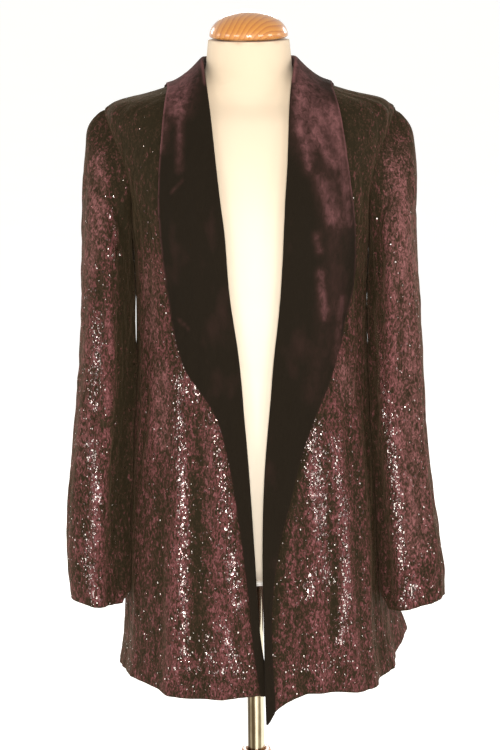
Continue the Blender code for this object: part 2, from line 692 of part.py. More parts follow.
def sleeve_fold_height(side, turn_round, share):
    """How far the sleeve's folds push it out, fading in and out along its length."""
    height = 0.0
    for fold in SLEEVE_FOLDS[side]:
        along = (share - fold.start) / (fold.end - fold.start)
        if not 0 <= along <= 1:
            continue
        centre = fold.turn + (fold.low_turn - fold.turn) * along
        away = (turn_round - centre + 180) % 360 - 180
        fade = smoothstep(along / 0.3) * smoothstep((1.25 - along) / 0.3)
        height += fold.height * fade * math.exp(-(away / fold.width) ** 2)
    return height


def sleeve_clearance(index):
    """How far a ring of the sleeve stands off the body's side, more below the armhole."""
    return min(0.0018 + 0.0002 * index, 0.0026)


def sleeve_grid(side):
    """Rings of a sleeve from the armhole to the cuff."""
    rows = SLEEVE_ROWS[side]

    def section(row, turn_round):
        around = math.radians(turn_round)
        outer = Vector((side * row.outer_x, row.middle_y, row.outer_z))
        inner = Vector((side * row.inner_x, row.middle_y, row.inner_z))
        forward = Vector((0, -row.half_depth * math.sin(around), 0))
        return (outer + inner) / 2 + (outer - inner) / 2 * math.cos(around) + forward

    grid = []
    for index, row in enumerate(rows):
        fade = 1 - smoothstep(index / HEAD_RINGS)
        ring = []
        for k in range(SLEEVE_AROUND):
            turn_round = 360 * k / SLEEVE_AROUND
            armhole, _, away = armhole_edge(side, turn_round)
            point = section(row, turn_round)
            point += (armhole - section(rows[0], turn_round)) * fade
            point += away * SEAM + Vector((side * SEAM, 0, 0))
            if index:
                clear = BODY.half_width_at(point.y, point.z) + sleeve_clearance(index)
                point.x = side * max(side * point.x, clear)
            ring.append(point)
        grid.append(ring)
    return grid


def grid_normals(grid, side):
    """Outward normals of a grid of rings."""
    normals = []
    for j, ring in enumerate(grid):
        above = grid[max(j - 1, 0)]
        below = grid[min(j + 1, len(grid) - 1)]
        row = []
        for k in range(len(ring)):
            around = ring[(k + 1) % len(ring)] - ring[k - 1]
            row.append(around.cross(below[k] - above[k]).normalized() * side)
        normals.append(row)
    return normals


def make_sleeves():
    for side, name in ((LEFT, "sleeve_left"), (RIGHT, "sleeve_right")):
        smooth = sleeve_grid(side)
        normals = grid_normals(smooth, side)
        outer = []
        inner = []
        for j, ring in enumerate(smooth):
            share = j / (len(smooth) - 1)
            outer.append([])
            inner.append([])
            for k, point in enumerate(ring):
                turn_round = 360 * k / SLEEVE_AROUND
                point = point + normals[j][k] * sleeve_fold_height(side, turn_round, share)
                direction = normals[j][k]
                if j == 0:
                    towards_top = (math.cos(math.radians(turn_round)) + 0.3) / 0.6
                    body = armhole_edge(side, turn_round)[1]
                    direction = direction.lerp(body, smoothstep(towards_top)).normalized()
                outer[-1].append(point)
                inner[-1].append(point - direction * CLOTH)
        solid_from_walls(name, outer, inner, "burnout", closed_round=True)


def circle(radius, z, count):
    """A ring that starts at the centre front, as the body's rings do."""
    return [Vector((radius * math.sin(2 * math.pi * k / count),
                    -radius * math.cos(2 * math.pi * k / count), z)) for k in range(count)]


def stacked_solid(name, rings, finish, close_start=True, close_end=True, closed_loop=False):
    """One closed solid through rings of equal count."""
    mesh = bmesh.new()
    loops = [[mesh.verts.new(point) for point in ring] for ring in rings]
    pairs = list(zip(loops, loops[1:]))
    if closed_loop:
        pairs.append((loops[-1], loops[0]))
    for low, high in pairs:
        for k in range(len(low)):
            after = (k + 1) % len(low)
            mesh.faces.new((low[k], low[after], high[after], high[k]))
    if close_start and not closed_loop:
        mesh.faces.new(list(reversed(loops[0])))
    if close_end and not closed_loop:
        mesh.faces.new(loops[-1])
    return finish_object(name, mesh, finish)


def form_ring(z, grow=0.0, height=None):
    """Ring of the dress form, grown outwards and set at a height of its own if given."""
    ring = []
    for k in range(FORM_AROUND):
        turn = 360 * k / FORM_AROUND
        point = FORM.point(turn, z)
        flat = Vector((point.x, point.y, 0))
        point += flat.normalized() * grow
        point.z = z if height is None else height
        ring.append(point)
    return ring


def make_form():
    """Padded torso with a socket for the pole, and the board under it."""
    heights = [ring.z for ring in FORM_RINGS]
    socket = [circle(POLE_HOLE_RADIUS, SOCKET_TOP_Z, FORM_AROUND),
              circle(POLE_HOLE_RADIUS, FORM_BOTTOM_Z, FORM_AROUND)]
    stacked_solid("form_torso", socket + [form_ring(z) for z in heights], "jersey")
    board_top = FORM_BOTTOM_Z - SEAM
    rings = [circle(POLE_HOLE_RADIUS, board_top, FORM_AROUND),
             circle(POLE_HOLE_RADIUS, BOARD_BOTTOM_Z, FORM_AROUND),
             form_ring(FORM_BOTTOM_Z, BOARD_OVERHANG, BOARD_BOTTOM_Z),
             form_ring(FORM_BOTTOM_Z, BOARD_OVERHANG, board_top)]
    stacked_solid("form_board", rings, "board", closed_loop=True)


def make_stand():
    """Wooden cap on the neck, chrome pole, turned column with its socket, and round foot."""
    cap = [circle(radius, z, 24) for radius, z in CAP_PROFILE]
    stacked_solid("neck_cap", cap, "wood")
    pole = [circle(POLE_RADIUS, z, 20) for z in (POLE_BOTTOM_Z, POLE_TOP_Z)]
    stacked_solid("pole", pole, "chrome")
    column = [circle(radius, z, 24) for radius, z in COLUMN_PROFILE]
    column += [circle(POLE_HOLE_RADIUS, COLUMN_TOP_Z, 24),
               circle(POLE_HOLE_RADIUS, COLUMN_BORE_Z, 24)]
    stacked_solid("stand_column", column, "wood")
    foot = [circle(radius, z, 40) for radius, z in FOOT_PROFILE]
    stacked_solid("stand_foot", foot, "wood")


for old in list(bpy.data.objects):
    bpy.data.objects.remove(old, do_unlink=True)
make_fronts()
make_backs()
make_shawls()
make_sleeves()
make_form()
make_stand()
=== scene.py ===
"""Looks of a shawl-collared evening blazer on a limbless dress form.

Metres, +Z up, the pole's axis at x = y = 0, the front towards -Y, the wearer's left at +X.
Each cloth piece is a fine shell on its solid's form, with its creases placed one by one.
A turn of 0 degrees is the centre front, 90 the wearer's left side, 180 the centre back.
"""

import math
from collections import namedtuple
from functools import partial

import bmesh
import bpy
import numpy as np
from mathutils import Matrix, Vector
from mathutils.bvhtree import BVHTree
from mathutils.kdtree import KDTree


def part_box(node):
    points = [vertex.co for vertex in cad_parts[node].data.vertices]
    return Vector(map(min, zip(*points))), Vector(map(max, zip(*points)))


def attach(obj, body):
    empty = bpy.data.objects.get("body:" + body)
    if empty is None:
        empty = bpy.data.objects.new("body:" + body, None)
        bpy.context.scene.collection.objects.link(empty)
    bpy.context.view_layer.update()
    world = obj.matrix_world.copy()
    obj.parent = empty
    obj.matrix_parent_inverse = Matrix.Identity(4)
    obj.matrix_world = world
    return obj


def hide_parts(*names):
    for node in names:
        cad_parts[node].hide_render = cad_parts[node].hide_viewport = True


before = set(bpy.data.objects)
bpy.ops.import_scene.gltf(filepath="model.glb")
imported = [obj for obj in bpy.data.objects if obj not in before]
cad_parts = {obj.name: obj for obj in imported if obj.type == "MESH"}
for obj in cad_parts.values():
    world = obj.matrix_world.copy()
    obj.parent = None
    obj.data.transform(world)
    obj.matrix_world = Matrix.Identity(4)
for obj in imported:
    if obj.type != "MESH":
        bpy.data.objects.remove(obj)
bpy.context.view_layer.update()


def table(columns, rows):
    """The rows of a table, each with its columns named."""
    return [columns(*row) for row in rows]


LEFT = 1
RIGHT = -1

# Camera, from the photograph's own view
IMAGE_HEIGHT_PX = 750
FOCAL_LENGTH_PX = 2290
SENSOR_MM = 36.0
CAMERA_PLACE = Vector((-0.003, -3.0, 1.6385))
CAMERA_PITCH = math.radians(12.5)
CAMERA_ROLL = math.radians(0.62)

# Light: a white room, a key softbox just above the camera, and a ring of weaker softboxes round
# the garment, which the foil flecks throw back from any side
ROOM_COLOUR = (1.0, 0.99, 0.97, 1.0)
ROOM_STRENGTH = 0.80
SOFTBOX_SIZE = 0.80
KEY_PLACE = (0.05, -3.2, 1.90)
KEY_AIM = (0, 0, 0.95)
KEY_POWER = 80.0
KEY_COLOUR = (1.0, 0.96, 0.91)
RING_DISTANCE = 3.3
RING_AIM = (0, 0, 0.9)
RING_COLOUR = (1.0, 0.97, 0.94)
Softbox = namedtuple("Softbox", "azimuth height power")
RING = table(Softbox, [
    (-66, 2.0, 18.0),
    (-36, 2.1, 22.0),
    (36, 2.1, 22.0),
    (66, 2.0, 24.0),
    (-100, 1.8, 8.0),
    (100, 1.8, 8.0),
    (142, 2.0, 18.0),
    (180, 2.0, 24.0),
    (-142, 2.0, 18.0),
])
FLOOR_SIZE = 90.0

# Colours of the garment
NEAR_BLACK = (0.0120, 0.0088, 0.0040)
GROUND_BROWN = (0.0205, 0.0132, 0.0066)
DARK_BURGUNDY = (0.0440, 0.0176, 0.0145)
BURGUNDY = (0.0790, 0.0268, 0.0256)
PALE_BURGUNDY = (0.1640, 0.0640, 0.0670)
DULL_FOIL = (0.090, 0.050, 0.054)
MID_FOIL = (0.260, 0.180, 0.175)
BRIGHT_FOIL = (1.000, 0.910, 0.840)
HEM_BROWN = (0.0240, 0.0170, 0.0085)
VELVET_BLACK = (0.0078, 0.0052, 0.0026)
VELVET_BROWN = (0.0190, 0.0092, 0.0066)
PLUM = (0.0560, 0.0238, 0.0222)
PALE_PLUM = (0.1120, 0.0470, 0.0465)

# Body of the garment
BODY_HALF_WIDTH = 0.165
BODY_DEPTH = 0.120
SHOULDER_START_Z = 1.22
SHOULDER_RISE = 0.12
BODY_RADIUS = 0.160
SLEEVE_RADIUS = 0.050
HEM_Z = 0.566

# Fineness. Faces that meet at more than RIM_ANGLE are a rim of a cloth solid, and at more than
# FINE_RIM_ANGLE the same rim once it is subdivided
FINE_LEVELS = 3
STAND_LEVELS = 2
RIM_ANGLE = math.radians(62)
RIM_CREASE = 0.9
FINE_RIM_ANGLE = math.radians(32)
SMOOTH_ANGLE = math.radians(50)
MERGE_DISTANCE = 0.00002

# What the looks read: how far from its edge the cloth is marked, the height of a full crest, how
# sharply the front's strokes give way to the back's, and the ripples' weight beside the folds
EDGE_REACH = 0.012
CREST_REACH = 0.0050
FRONT_BLEND = 2
RIPPLE_WEIGHT = 2
WRONG_SIDE_FACING = -0.35

# The level slices that the middle of a sleeve and of the collar is worked out from
SLEEVE_SLICES = 24
SLEEVE_SLICE_HALF_HEIGHT = 0.020
SLEEVE_CUFF_INSET = 0.012
SLEEVE_HEAD_INSET = 0.05
COLLAR_SLICES = 60
COLLAR_SLICE_HALF_HEIGHT = 0.012

# A crease runs past its two places by this share of its length and fades over this share, but
# not at its lower end where that is within HEM_REACH of the hem, because there it runs off
CREASE_OVERRUN = 0.2
CREASE_FADE = 0.35
HEM_REACH = 0.03

# How near a seam the creases fade, and how many ripples add up to their stated height
SEAM_REACH = 0.012
PLAIN_WAVE_COUNT = 8

# Where creases fade out upwards: at the neck, at the sleeve head and at the collar's turn
PANEL_CALM_Z = 1.375
PANEL_CALM_FADE = 0.05
SLEEVE_CALM_Z = 1.30
SLEEVE_CALM_FADE = 0.08
SHAWL_CALM_Z = 1.345
SHAWL_CALM_FADE = 0.06

# How the sleeves lie against the body, but for a small slit at the wearer's right side. The
# pushes are worked out on a grid of heights and turns, each no further than SETTLE_MOST
GARMENT_CLEARANCE = 0.0004
SLEEVE_SEARCH = 0.12
SETTLE_TOP_Z = 1.16
SETTLE_TOP_FADE = 0.04
SETTLE_BELOW_CUFF = 0.002
SETTLE_ROWS = 90
SETTLE_TURNS = (112, 248)
SETTLE_TURN_STEP = 4
SETTLE_REACH = 46
SETTLE_MOST = 0.011
SLIT_Z = 1.055
SLIT_HALF_HEIGHT = 0.030
SLIT_SHARE = 0.34

# Keeps a place on a grid just short of its last row or column
SHORT_OF_LAST = 1.001

# The cap's dome over its flat underside
CAP_LIP = 0.0050
CAP_ROLL = 0.0075
CAP_DOME = 0.0310
CAP_SMOOTH_ANGLE = math.radians(40)

# How full the sleeve head stands
HEAD_Z = 1.310
HEAD_HEIGHT = 0.020
HEAD_INNER_X = 0.183
HEAD_INNER_FADE = 0.012
HEAD_FULLNESS = 0.0045

# How far the corner of the shoulder is eased down
CORNER_X = 0.190
CORNER_Z = 1.318
CORNER_WIDTH = 0.011
CORNER_FADE = 0.014
CORNER_DROP = 0.0044

# How the collar's edge is drawn in behind the shoulder
TUCK_X = 0.106
TUCK_SHARE = 0.65
TUCK_FRONT_Y = -0.015
TUCK_FRONT_FADE = 0.020
TUCK_BACK_Y = 0.045
TUCK_BACK_FADE = 0.030
TUCK_Z = 1.315
TUCK_Z_FADE = 0.015
SHOULDER_SLOPE = 0.29

# Creases of the body: a soft line between two places, its half width and how far it stands out
Crease = namedtuple("Crease", "turn_a z_a turn_b z_b width depth")
BODY_CREASES = table(Crease, [
    # Right front: folds that fall from the collar's edge and the waist
    (-33, 0.95, -35, 0.57, 0.0090, 0.0022),
    (-24, 0.92, -27, 0.60, 0.0080, -0.0028),
    (-16, 0.88, -13, 0.57, 0.0100, 0.0022),
    (-8, 0.80, -8, 0.62, 0.0060, -0.0014),
    (-43, 1.02, -42, 0.60, 0.0080, -0.0018),
    (-52, 0.97, -50, 0.66, 0.0100, 0.0016),
    (-62, 0.90, -60, 0.57, 0.0080, -0.0018),
    (-33, 0.592, -20, 0.622, 0.0070, 0.0028),
    (-36, 0.575, -24, 0.600, 0.0070, -0.0020),
    (-50, 1.20, -58, 1.05, 0.0090, -0.0018),
    (-56, 1.24, -66, 1.12, 0.0070, 0.0014),
    (-44, 1.10, -40, 0.98, 0.0100, -0.0014),
    (-60, 1.01, -44, 0.96, 0.0090, -0.0016),
    (-66, 0.96, -50, 0.90, 0.0080, 0.0012),
    # Left front
    (26, 0.90, 27, 0.58, 0.0080, 0.0022),
    (34, 0.86, 34, 0.57, 0.0080, -0.0028),
    (41, 0.98, 42, 0.57, 0.0090, 0.0024),
    (49, 0.92, 48, 0.58, 0.0070, -0.0020),
    (57, 0.96, 56, 0.56, 0.0080, 0.0020),
    (66, 0.94, 63, 0.60, 0.0070, -0.0024),
    (16, 0.78, 15, 0.60, 0.0070, 0.0014),
    (21, 0.74, 21, 0.57, 0.0060, -0.0016),
    (44, 1.13, 56, 0.99, 0.0080, -0.0020),
    (52, 1.20, 60, 1.08, 0.0080, -0.0016),
    (60, 1.05, 46, 0.97, 0.0080, 0.0014),
    (64, 0.98, 48, 0.92, 0.0080, -0.0012),
    # Back, where the like folds fall from the shoulder blades and the waist
    (122, 1.00, 120, 0.57, 0.0100, 0.0022),
    (132, 0.96, 133, 0.56, 0.0090, -0.0026),
    (143, 1.02, 144, 0.60, 0.0100, 0.0020),
    (154, 1.08, 153, 0.57, 0.0090, -0.0020),
    (166, 1.00, 167, 0.62, 0.0090, 0.0018),
    (-120, 0.98, -118, 0.58, 0.0100, -0.0024),
    (-131, 1.02, -132, 0.57, 0.0090, 0.0022),
    (-144, 0.97, -142, 0.58, 0.0090, -0.0022),
    (-156, 1.05, -158, 0.60, 0.0100, 0.0020),
    (-168, 0.99, -168, 0.57, 0.0080, -0.0018),
    (118, 1.22, 128, 1.10, 0.0100, -0.0018),
    (-116, 1.21, -129, 1.08, 0.0100, -0.0018),
    (112, 1.01, 150, 0.985, 0.0090, -0.0016),
    (-110, 0.985, -152, 1.00, 0.0090, -0.0016),
    (126, 0.955, 164, 0.97, 0.0080, 0.0012),
    (-128, 0.96, -160, 0.955, 0.0080, 0.0012),
    (168, 1.335, 140, 1.30, 0.0090, -0.0012),
    (-168, 1.335, -142, 1.305, 0.0090, -0.0012),
])

# Creases of each sleeve: 0 is its outside, 90 its front, 180 next to the body, 270 its back
SLEEVE_CREASES = {
    RIGHT: table(Crease, [
        (100, 1.18, 97, 0.68, 0.0070, 0.0022),
        (78, 1.14, 74, 0.70, 0.0060, -0.0022),
        (124, 1.20, 122, 0.70, 0.0070, -0.0026),
        (50, 1.10, 48, 0.72, 0.0070, 0.0016),
        (28, 1.02, 26, 0.76, 0.0070, -0.0016),
        (70, 0.935, 128, 0.925, 0.0050, -0.0030),
        (64, 0.905, 118, 0.900, 0.0050, 0.0020),
        (40, 0.965, 92, 0.955, 0.0050, -0.0018),
        (84, 0.868, 132, 0.858, 0.0045, -0.0022),
        (52, 0.835, 100, 0.845, 0.0045, -0.0016),
        (96, 1.235, 138, 1.175, 0.0070, -0.0026),
        (80, 1.215, 122, 1.120, 0.0070, 0.0018),
        (262, 1.16, 258, 0.70, 0.0070, 0.0020),
        (236, 1.12, 238, 0.72, 0.0060, -0.0022),
        (290, 1.08, 288, 0.74, 0.0060, -0.0018),
        (232, 0.945, 300, 0.930, 0.0050, -0.0024),
        (240, 0.900, 296, 0.912, 0.0050, 0.0016),
        (252, 0.868, 310, 0.874, 0.0050, -0.0020),
        (318, 1.04, 322, 0.78, 0.0060, -0.0014),
    ]),
    LEFT: table(Crease, [
        (108, 1.16, 92, 0.92, 0.0070, 0.0022),
        (92, 0.94, 84, 0.69, 0.0070, 0.0022),
        (86, 1.14, 70, 0.74, 0.0060, -0.0020),
        (132, 1.18, 118, 0.70, 0.0070, -0.0028),
        (52, 1.10, 44, 0.72, 0.0070, 0.0016),
        (30, 1.02, 26, 0.74, 0.0060, -0.0016),
        (76, 0.955, 130, 0.940, 0.0050, -0.0024),
        (60, 0.925, 112, 0.915, 0.0050, 0.0016),
        (66, 0.890, 120, 0.882, 0.0050, -0.0020),
        (48, 0.850, 98, 0.860, 0.0045, -0.0014),
        (98, 1.235, 140, 1.170, 0.0070, -0.0026),
        (80, 1.205, 120, 1.110, 0.0070, 0.0018),
        (256, 1.16, 262, 0.70, 0.0070, 0.0020),
        (232, 1.12, 236, 0.72, 0.0060, -0.0022),
        (286, 1.08, 290, 0.74, 0.0060, -0.0018),
        (236, 0.950, 304, 0.936, 0.0050, -0.0024),
        (244, 0.890, 300, 0.900, 0.0050, -0.0018),
        (316, 1.04, 320, 0.78, 0.0060, -0.0014),
    ]),
}

# Soft dents of the velvet collar, which lies over the fronts
SHAWL_CREASES = table(Crease, [
    (-30, 1.32, -22, 1.20, 0.0080, -0.0010),
    (-22, 1.16, -34, 1.12, 0.0070, 0.0008),
    (-16, 1.02, -26, 1.05, 0.0080, -0.0008),
    (38, 1.27, 30, 1.21, 0.0080, -0.0012),
    (46, 1.20, 32, 1.17, 0.0070, 0.0010),
    (44, 1.12, 36, 1.02, 0.0080, -0.0012),
    (34, 1.08, 26, 1.01, 0.0080, 0.0008),
    (40, 1.04, 30, 0.98, 0.0060, -0.0010),
    (28, 0.98, 18, 0.90, 0.0070, -0.0008),
])

# Small rolls where the collar turns over the shoulder
ROLL_CREASES = table(Crease, [
    (-96, 1.350, -72, 1.348, 0.0050, 0.0016),
    (-98, 1.362, -74, 1.359, 0.0045, 0.0020),
    (-94, 1.376, -76, 1.373, 0.0040, 0.0013),
    (96, 1.349, 74, 1.350, 0.0050, 0.0013),
    (98, 1.363, 72, 1.361, 0.0055, 0.0018),
    (95, 1.379, 75, 1.377, 0.0040, 0.0010),
])

# Painted light and shade, and painted glint bands where the foil catches the flash, as strokes
# seen from the front or, for the back, through the piece: two ends, a half width and a strength
Stroke = namedtuple("Stroke", "x_a z_a x_b z_b width strength")
FRONT_GLINTS = table(Stroke, [
    (0.078, 0.925, 0.086, 0.810, 0.0100, 1.3),
    (0.087, 0.800, 0.098, 0.720, 0.0070, 0.6),
    (0.108, 0.905, 0.119, 0.800, 0.0060, 0.7),
    (0.119, 0.800, 0.122, 0.700, 0.0055, 0.8),
    (0.122, 0.690, 0.112, 0.630, 0.0075, 0.7),
    (0.070, 0.700, 0.077, 0.740, 0.0070, 0.7),
    (0.050, 0.603, 0.120, 0.606, 0.0050, 0.4),
    (-0.089, 1.045, -0.074, 0.975, 0.0100, 0.9),
    (-0.096, 0.990, -0.093, 0.860, 0.0055, 0.9),
    (-0.093, 0.860, -0.095, 0.610, 0.0055, 0.9),
    (-0.051, 0.945, -0.041, 0.870, 0.0060, 0.5),
    (-0.041, 0.870, -0.029, 0.749, 0.0065, 0.5),
    (-0.029, 0.750, -0.023, 0.690, 0.0075, 0.9),
    (-0.042, 0.670, -0.030, 0.615, 0.0070, 0.7),
    (-0.066, 0.650, -0.060, 0.610, 0.0060, 0.5),
    (-0.110, 0.604, -0.020, 0.602, 0.0050, 0.4),
    (-0.179, 1.205, -0.176, 1.150, 0.0050, 0.9),
    (-0.198, 1.070, -0.209, 0.950, 0.0060, 0.7),
    (-0.213, 0.900, -0.206, 0.830, 0.0070, 0.8),
    (-0.206, 0.830, -0.222, 0.740, 0.0070, 0.7),
    (-0.220, 0.730, -0.211, 0.690, 0.0070, 0.7),
    (0.165, 1.050, 0.170, 0.980, 0.0045, 0.8),
    (0.170, 0.980, 0.183, 0.885, 0.0055, 0.9),
    (0.183, 0.885, 0.197, 0.734, 0.0060, 0.9),
    (0.211, 0.705, 0.201, 0.680, 0.0100, 0.7),
])
BACK_GLINTS = table(Stroke, [
    (0.100, 1.060, 0.094, 0.900, 0.0065, 0.8),
    (0.094, 0.900, 0.102, 0.720, 0.0070, 0.9),
    (0.104, 0.700, 0.098, 0.610, 0.0070, 0.7),
    (0.046, 1.120, 0.050, 0.960, 0.0060, 0.7),
    (0.050, 0.930, 0.044, 0.760, 0.0070, 0.8),
    (0.042, 0.720, 0.050, 0.620, 0.0060, 0.7),
    (-0.052, 1.100, -0.046, 0.930, 0.0065, 0.8),
    (-0.046, 0.910, -0.054, 0.740, 0.0065, 0.8),
    (-0.056, 0.700, -0.050, 0.615, 0.0070, 0.7),
    (-0.106, 1.040, -0.098, 0.880, 0.0065, 0.8),
    (-0.098, 0.860, -0.108, 0.690, 0.0070, 0.9),
    (-0.020, 0.603, -0.120, 0.606, 0.0050, 0.4),
    (0.020, 0.603, 0.120, 0.606, 0.0050, 0.4),
    (0.178, 1.200, 0.182, 1.060, 0.0055, 0.8),
    (0.190, 1.000, 0.202, 0.860, 0.0060, 0.8),
    (0.204, 0.830, 0.212, 0.700, 0.0070, 0.8),
    (-0.176, 1.190, -0.184, 1.050, 0.0055, 0.8),
    (-0.190, 0.990, -0.204, 0.850, 0.0060, 0.8),
    (-0.206, 0.820, -0.216, 0.700, 0.0070, 0.8),
])
# Painted light and shade on the front: dark hollows beside the sleeves and collar, lit patches
FRONT_PAINTED_LIGHT = table(Stroke, [
    (0.156, 1.120, 0.158, 0.640, 0.0100, -0.15),
    (0.128, 1.330, 0.142, 1.100, 0.0180, -0.5),
    (0.078, 0.935, 0.042, 0.810, 0.0090, -1.0),
    (0.042, 0.810, 0.028, 0.700, 0.0080, -0.9),
    (0.026, 0.690, 0.018, 0.600, 0.0080, -0.6),
    (0.108, 0.780, 0.104, 0.640, 0.0070, -0.5),
    (0.140, 0.900, 0.138, 0.660, 0.0080, -0.4),
    (0.120, 1.000, 0.126, 0.960, 0.0150, 0.4),
    (0.159, 1.250, 0.163, 0.720, 0.0090, -0.25),
    (0.190, 1.260, 0.205, 1.120, 0.0180, 0.45),
    (-0.194, 1.270, -0.200, 1.140, 0.0160, 0.30),
    (-0.163, 1.200, -0.172, 0.700, 0.0090, -0.9),
    (0.196, 1.270, 0.214, 0.760, 0.0260, 0.40),
    (-0.206, 1.240, -0.232, 0.760, 0.0160, 0.25),
    (-0.110, 1.340, -0.130, 1.210, 0.0450, -0.8),
    (-0.078, 0.860, -0.072, 0.720, 0.0080, -0.8),
    (-0.071, 0.700, -0.074, 0.630, 0.0080, -0.6),
    (-0.120, 0.840, -0.124, 0.700, 0.0120, -0.3),
    (-0.157, 1.210, -0.158, 0.960, 0.0090, -0.9),
    (-0.134, 1.140, -0.130, 1.040, 0.0160, 0.35),
    (-0.120, 1.000, -0.116, 0.900, 0.0140, 0.4),
    (-0.060, 0.930, -0.060, 0.800, 0.0080, 0.2),
    (-0.200, 1.270, -0.196, 1.200, 0.0120, 0.5),
    (-0.190, 1.130, -0.200, 1.060, 0.0120, -0.4),
    (-0.178, 0.940, -0.186, 0.760, 0.0090, -0.6),
    (-0.226, 0.860, -0.228, 0.760, 0.0070, -0.4),
])
# Painted light and shade on the back
BACK_PAINTED_LIGHT = table(Stroke, [
    (0.156, 1.120, 0.158, 0.640, 0.0120, -0.9),
    (-0.156, 1.160, -0.158, 0.640, 0.0120, -0.9),
    (0.000, 1.330, 0.000, 1.180, 0.0900, -0.6),
    (0.074, 1.020, 0.072, 0.700, 0.0090, -0.7),
    (-0.076, 1.000, -0.078, 0.680, 0.0090, -0.7),
    (0.024, 1.000, 0.022, 0.760, 0.0080, -0.5),
    (-0.024, 1.060, -0.026, 0.800, 0.0080, -0.5),
    (0.125, 0.960, 0.128, 0.760, 0.0090, -0.4),
    (-0.128, 0.940, -0.126, 0.740, 0.0090, -0.4),
    (0.100, 1.150, 0.060, 1.080, 0.0200, 0.4),
    (-0.095, 1.140, -0.060, 1.090, 0.0200, 0.4),
])
# Painted sheen: the velvet collar's plum patches
SHAWL_PAINTED_SHEEN = table(Stroke, [
    (0.070, 1.392, 0.094, 1.322, 0.0190, 0.42),
    (0.062, 1.385, 0.078, 1.300, 0.0260, 0.30),
    (0.064, 1.360, 0.064, 1.310, 0.0080, 0.60),
    (0.108, 1.335, 0.122, 1.235, 0.0065, 0.45),
    (0.122, 1.235, 0.127, 1.190, 0.0045, 0.30),
    (0.070, 1.296, 0.075, 1.264, 0.0070, 0.55),
    (0.084, 1.306, 0.104, 1.268, 0.0060, 0.45),
    (0.088, 1.250, 0.104, 1.200, 0.0090, 0.50),
    (0.083, 1.180, 0.087, 1.160, 0.0050, 0.45),
    (0.088, 1.130, 0.093, 1.070, 0.0055, 0.50),
    (0.118, 1.090, 0.108, 1.010, 0.0050, 0.30),
    (0.100, 1.330, 0.114, 1.200, 0.0200, 0.22),
    (0.112, 1.200, 0.104, 1.090, 0.0200, 0.16),
    (0.100, 1.080, 0.078, 0.970, 0.0160, 0.14),
    (-0.078, 1.392, -0.092, 1.345, 0.0170, 0.85),
    (-0.100, 1.385, -0.114, 1.350, 0.0100, 0.60),
    (-0.089, 1.345, -0.090, 1.265, 0.0055, 0.45),
    (-0.106, 1.330, -0.112, 1.290, 0.0070, 0.35),
    (-0.100, 1.236, -0.086, 1.252, 0.0020, 0.40),
    (-0.096, 1.070, -0.082, 1.058, 0.0020, 0.35),
])

# The large folds that the solids already hold, as a guide for painted light on their crests and
# painted shade between them
Fold = namedtuple("Fold", "turn top_z width strength")
BODY_FOLD_FADE = 0.22
BODY_FOLD_DEPTH = 0.0030
BODY_FOLDS = table(Fold, [
    (-35, 0.95, 9, 1.0),
    (-25, 0.93, 6, -0.9),
    (-13, 0.90, 8, 0.8),
    (-50, 0.95, 7, -0.8),
    (-63, 0.95, 8, 0.3),
    (-76, 0.90, 7, -0.9),
    (20, 0.90, 5, -0.7),
    (27, 0.93, 6, 0.9),
    (41, 1.00, 7, 1.0),
    (55, 0.98, 6, 0.5),
    (70, 1.05, 8, -1.0),
    (84, 0.80, 8, 0.2),
    (108, 0.78, 10, 0.8),
    (134, 0.98, 8, -0.8),
    (153, 1.05, 8, 0.8),
    (-106, 0.88, 9, 0.7),
    (-129, 1.00, 8, -0.8),
    (-149, 1.00, 8, 0.8),
])
SLEEVE_FOLD_FADE = 0.20
SLEEVE_FOLD_DEPTH = 0.0032
SLEEVE_FOLDS = {
    RIGHT: table(Fold, [
        (98, 1.20, 20, 1.1),
        (134, 1.22, 16, -1.1),
        (58, 1.05, 16, -0.6),
        (30, 0.98, 18, 0.2),
        (260, 1.18, 20, 0.9),
        (228, 1.12, 18, -0.8),
        (302, 1.05, 18, -0.5),
    ]),
    LEFT: table(Fold, [
        (112, 1.20, 18, 1.1),
        (150, 1.22, 16, -1.1),
        (76, 1.05, 18, 0.2),
        (46, 1.05, 18, -0.4),
        (258, 1.18, 20, 0.9),
        (224, 1.12, 18, -0.8),
        (301, 1.05, 20, -0.5),
    ]),
}

# Small uneven ripples: how many, how long, how far they lean off the upright and how high
Wave = namedtuple("Wave", "seed count shortest longest lean height")
PANEL_WAVES = Wave(seed=11, count=26, shortest=0.010, longest=0.040, lean=0.35, height=0.00045)
SLEEVE_WAVES = Wave(seed=23, count=26, shortest=0.009, longest=0.032, lean=0.45, height=0.00045)
SHAWL_WAVES = Wave(seed=37, count=18, shortest=0.018, longest=0.050, lean=1.40, height=0.00030)


def choose_only(piece):
    """Make one object the selected and active one."""
    bpy.ops.object.select_all(action="DESELECT")
    piece.select_set(True)
    bpy.context.view_layer.objects.active = piece


def refined_copy(node, name, levels):
    """A fine piece on a node's own form: its quads back, its rims kept, then subdivided."""
    piece = bpy.data.objects.new(name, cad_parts[node].data.copy())
    bpy.context.collection.objects.link(piece)
    piece.data.materials.clear()
    choose_only(piece)
    bpy.ops.object.mode_set(mode="EDIT")
    bpy.ops.mesh.select_all(action="SELECT")
    bpy.ops.mesh.remove_doubles(threshold=MERGE_DISTANCE)
    bpy.ops.mesh.tris_convert_to_quads()
    bpy.ops.mesh.select_all(action="DESELECT")
    bpy.ops.mesh.select_mode(type="EDGE")
    bpy.ops.mesh.edges_select_sharp(sharpness=RIM_ANGLE)
    bpy.ops.transform.edge_crease(value=RIM_CREASE)
    bpy.ops.object.mode_set(mode="OBJECT")
    finer = piece.modifiers.new("finer", "SUBSURF")
    finer.levels = levels
    finer.render_levels = levels
    bpy.ops.object.modifier_apply(modifier=finer.name)
    bpy.ops.object.shade_smooth_by_angle(angle=SMOOTH_ANGLE)
    return piece


def points_of(piece):
    """All the piece's points as rows of x, y, z."""
    flat = np.empty(len(piece.data.vertices) * 3)
    piece.data.vertices.foreach_get("co", flat)
    return flat.reshape(-1, 3)


def move_points(piece, points):
    """Put the piece's points at these places."""
    piece.data.vertices.foreach_set("co", points.ravel())
    piece.data.update()


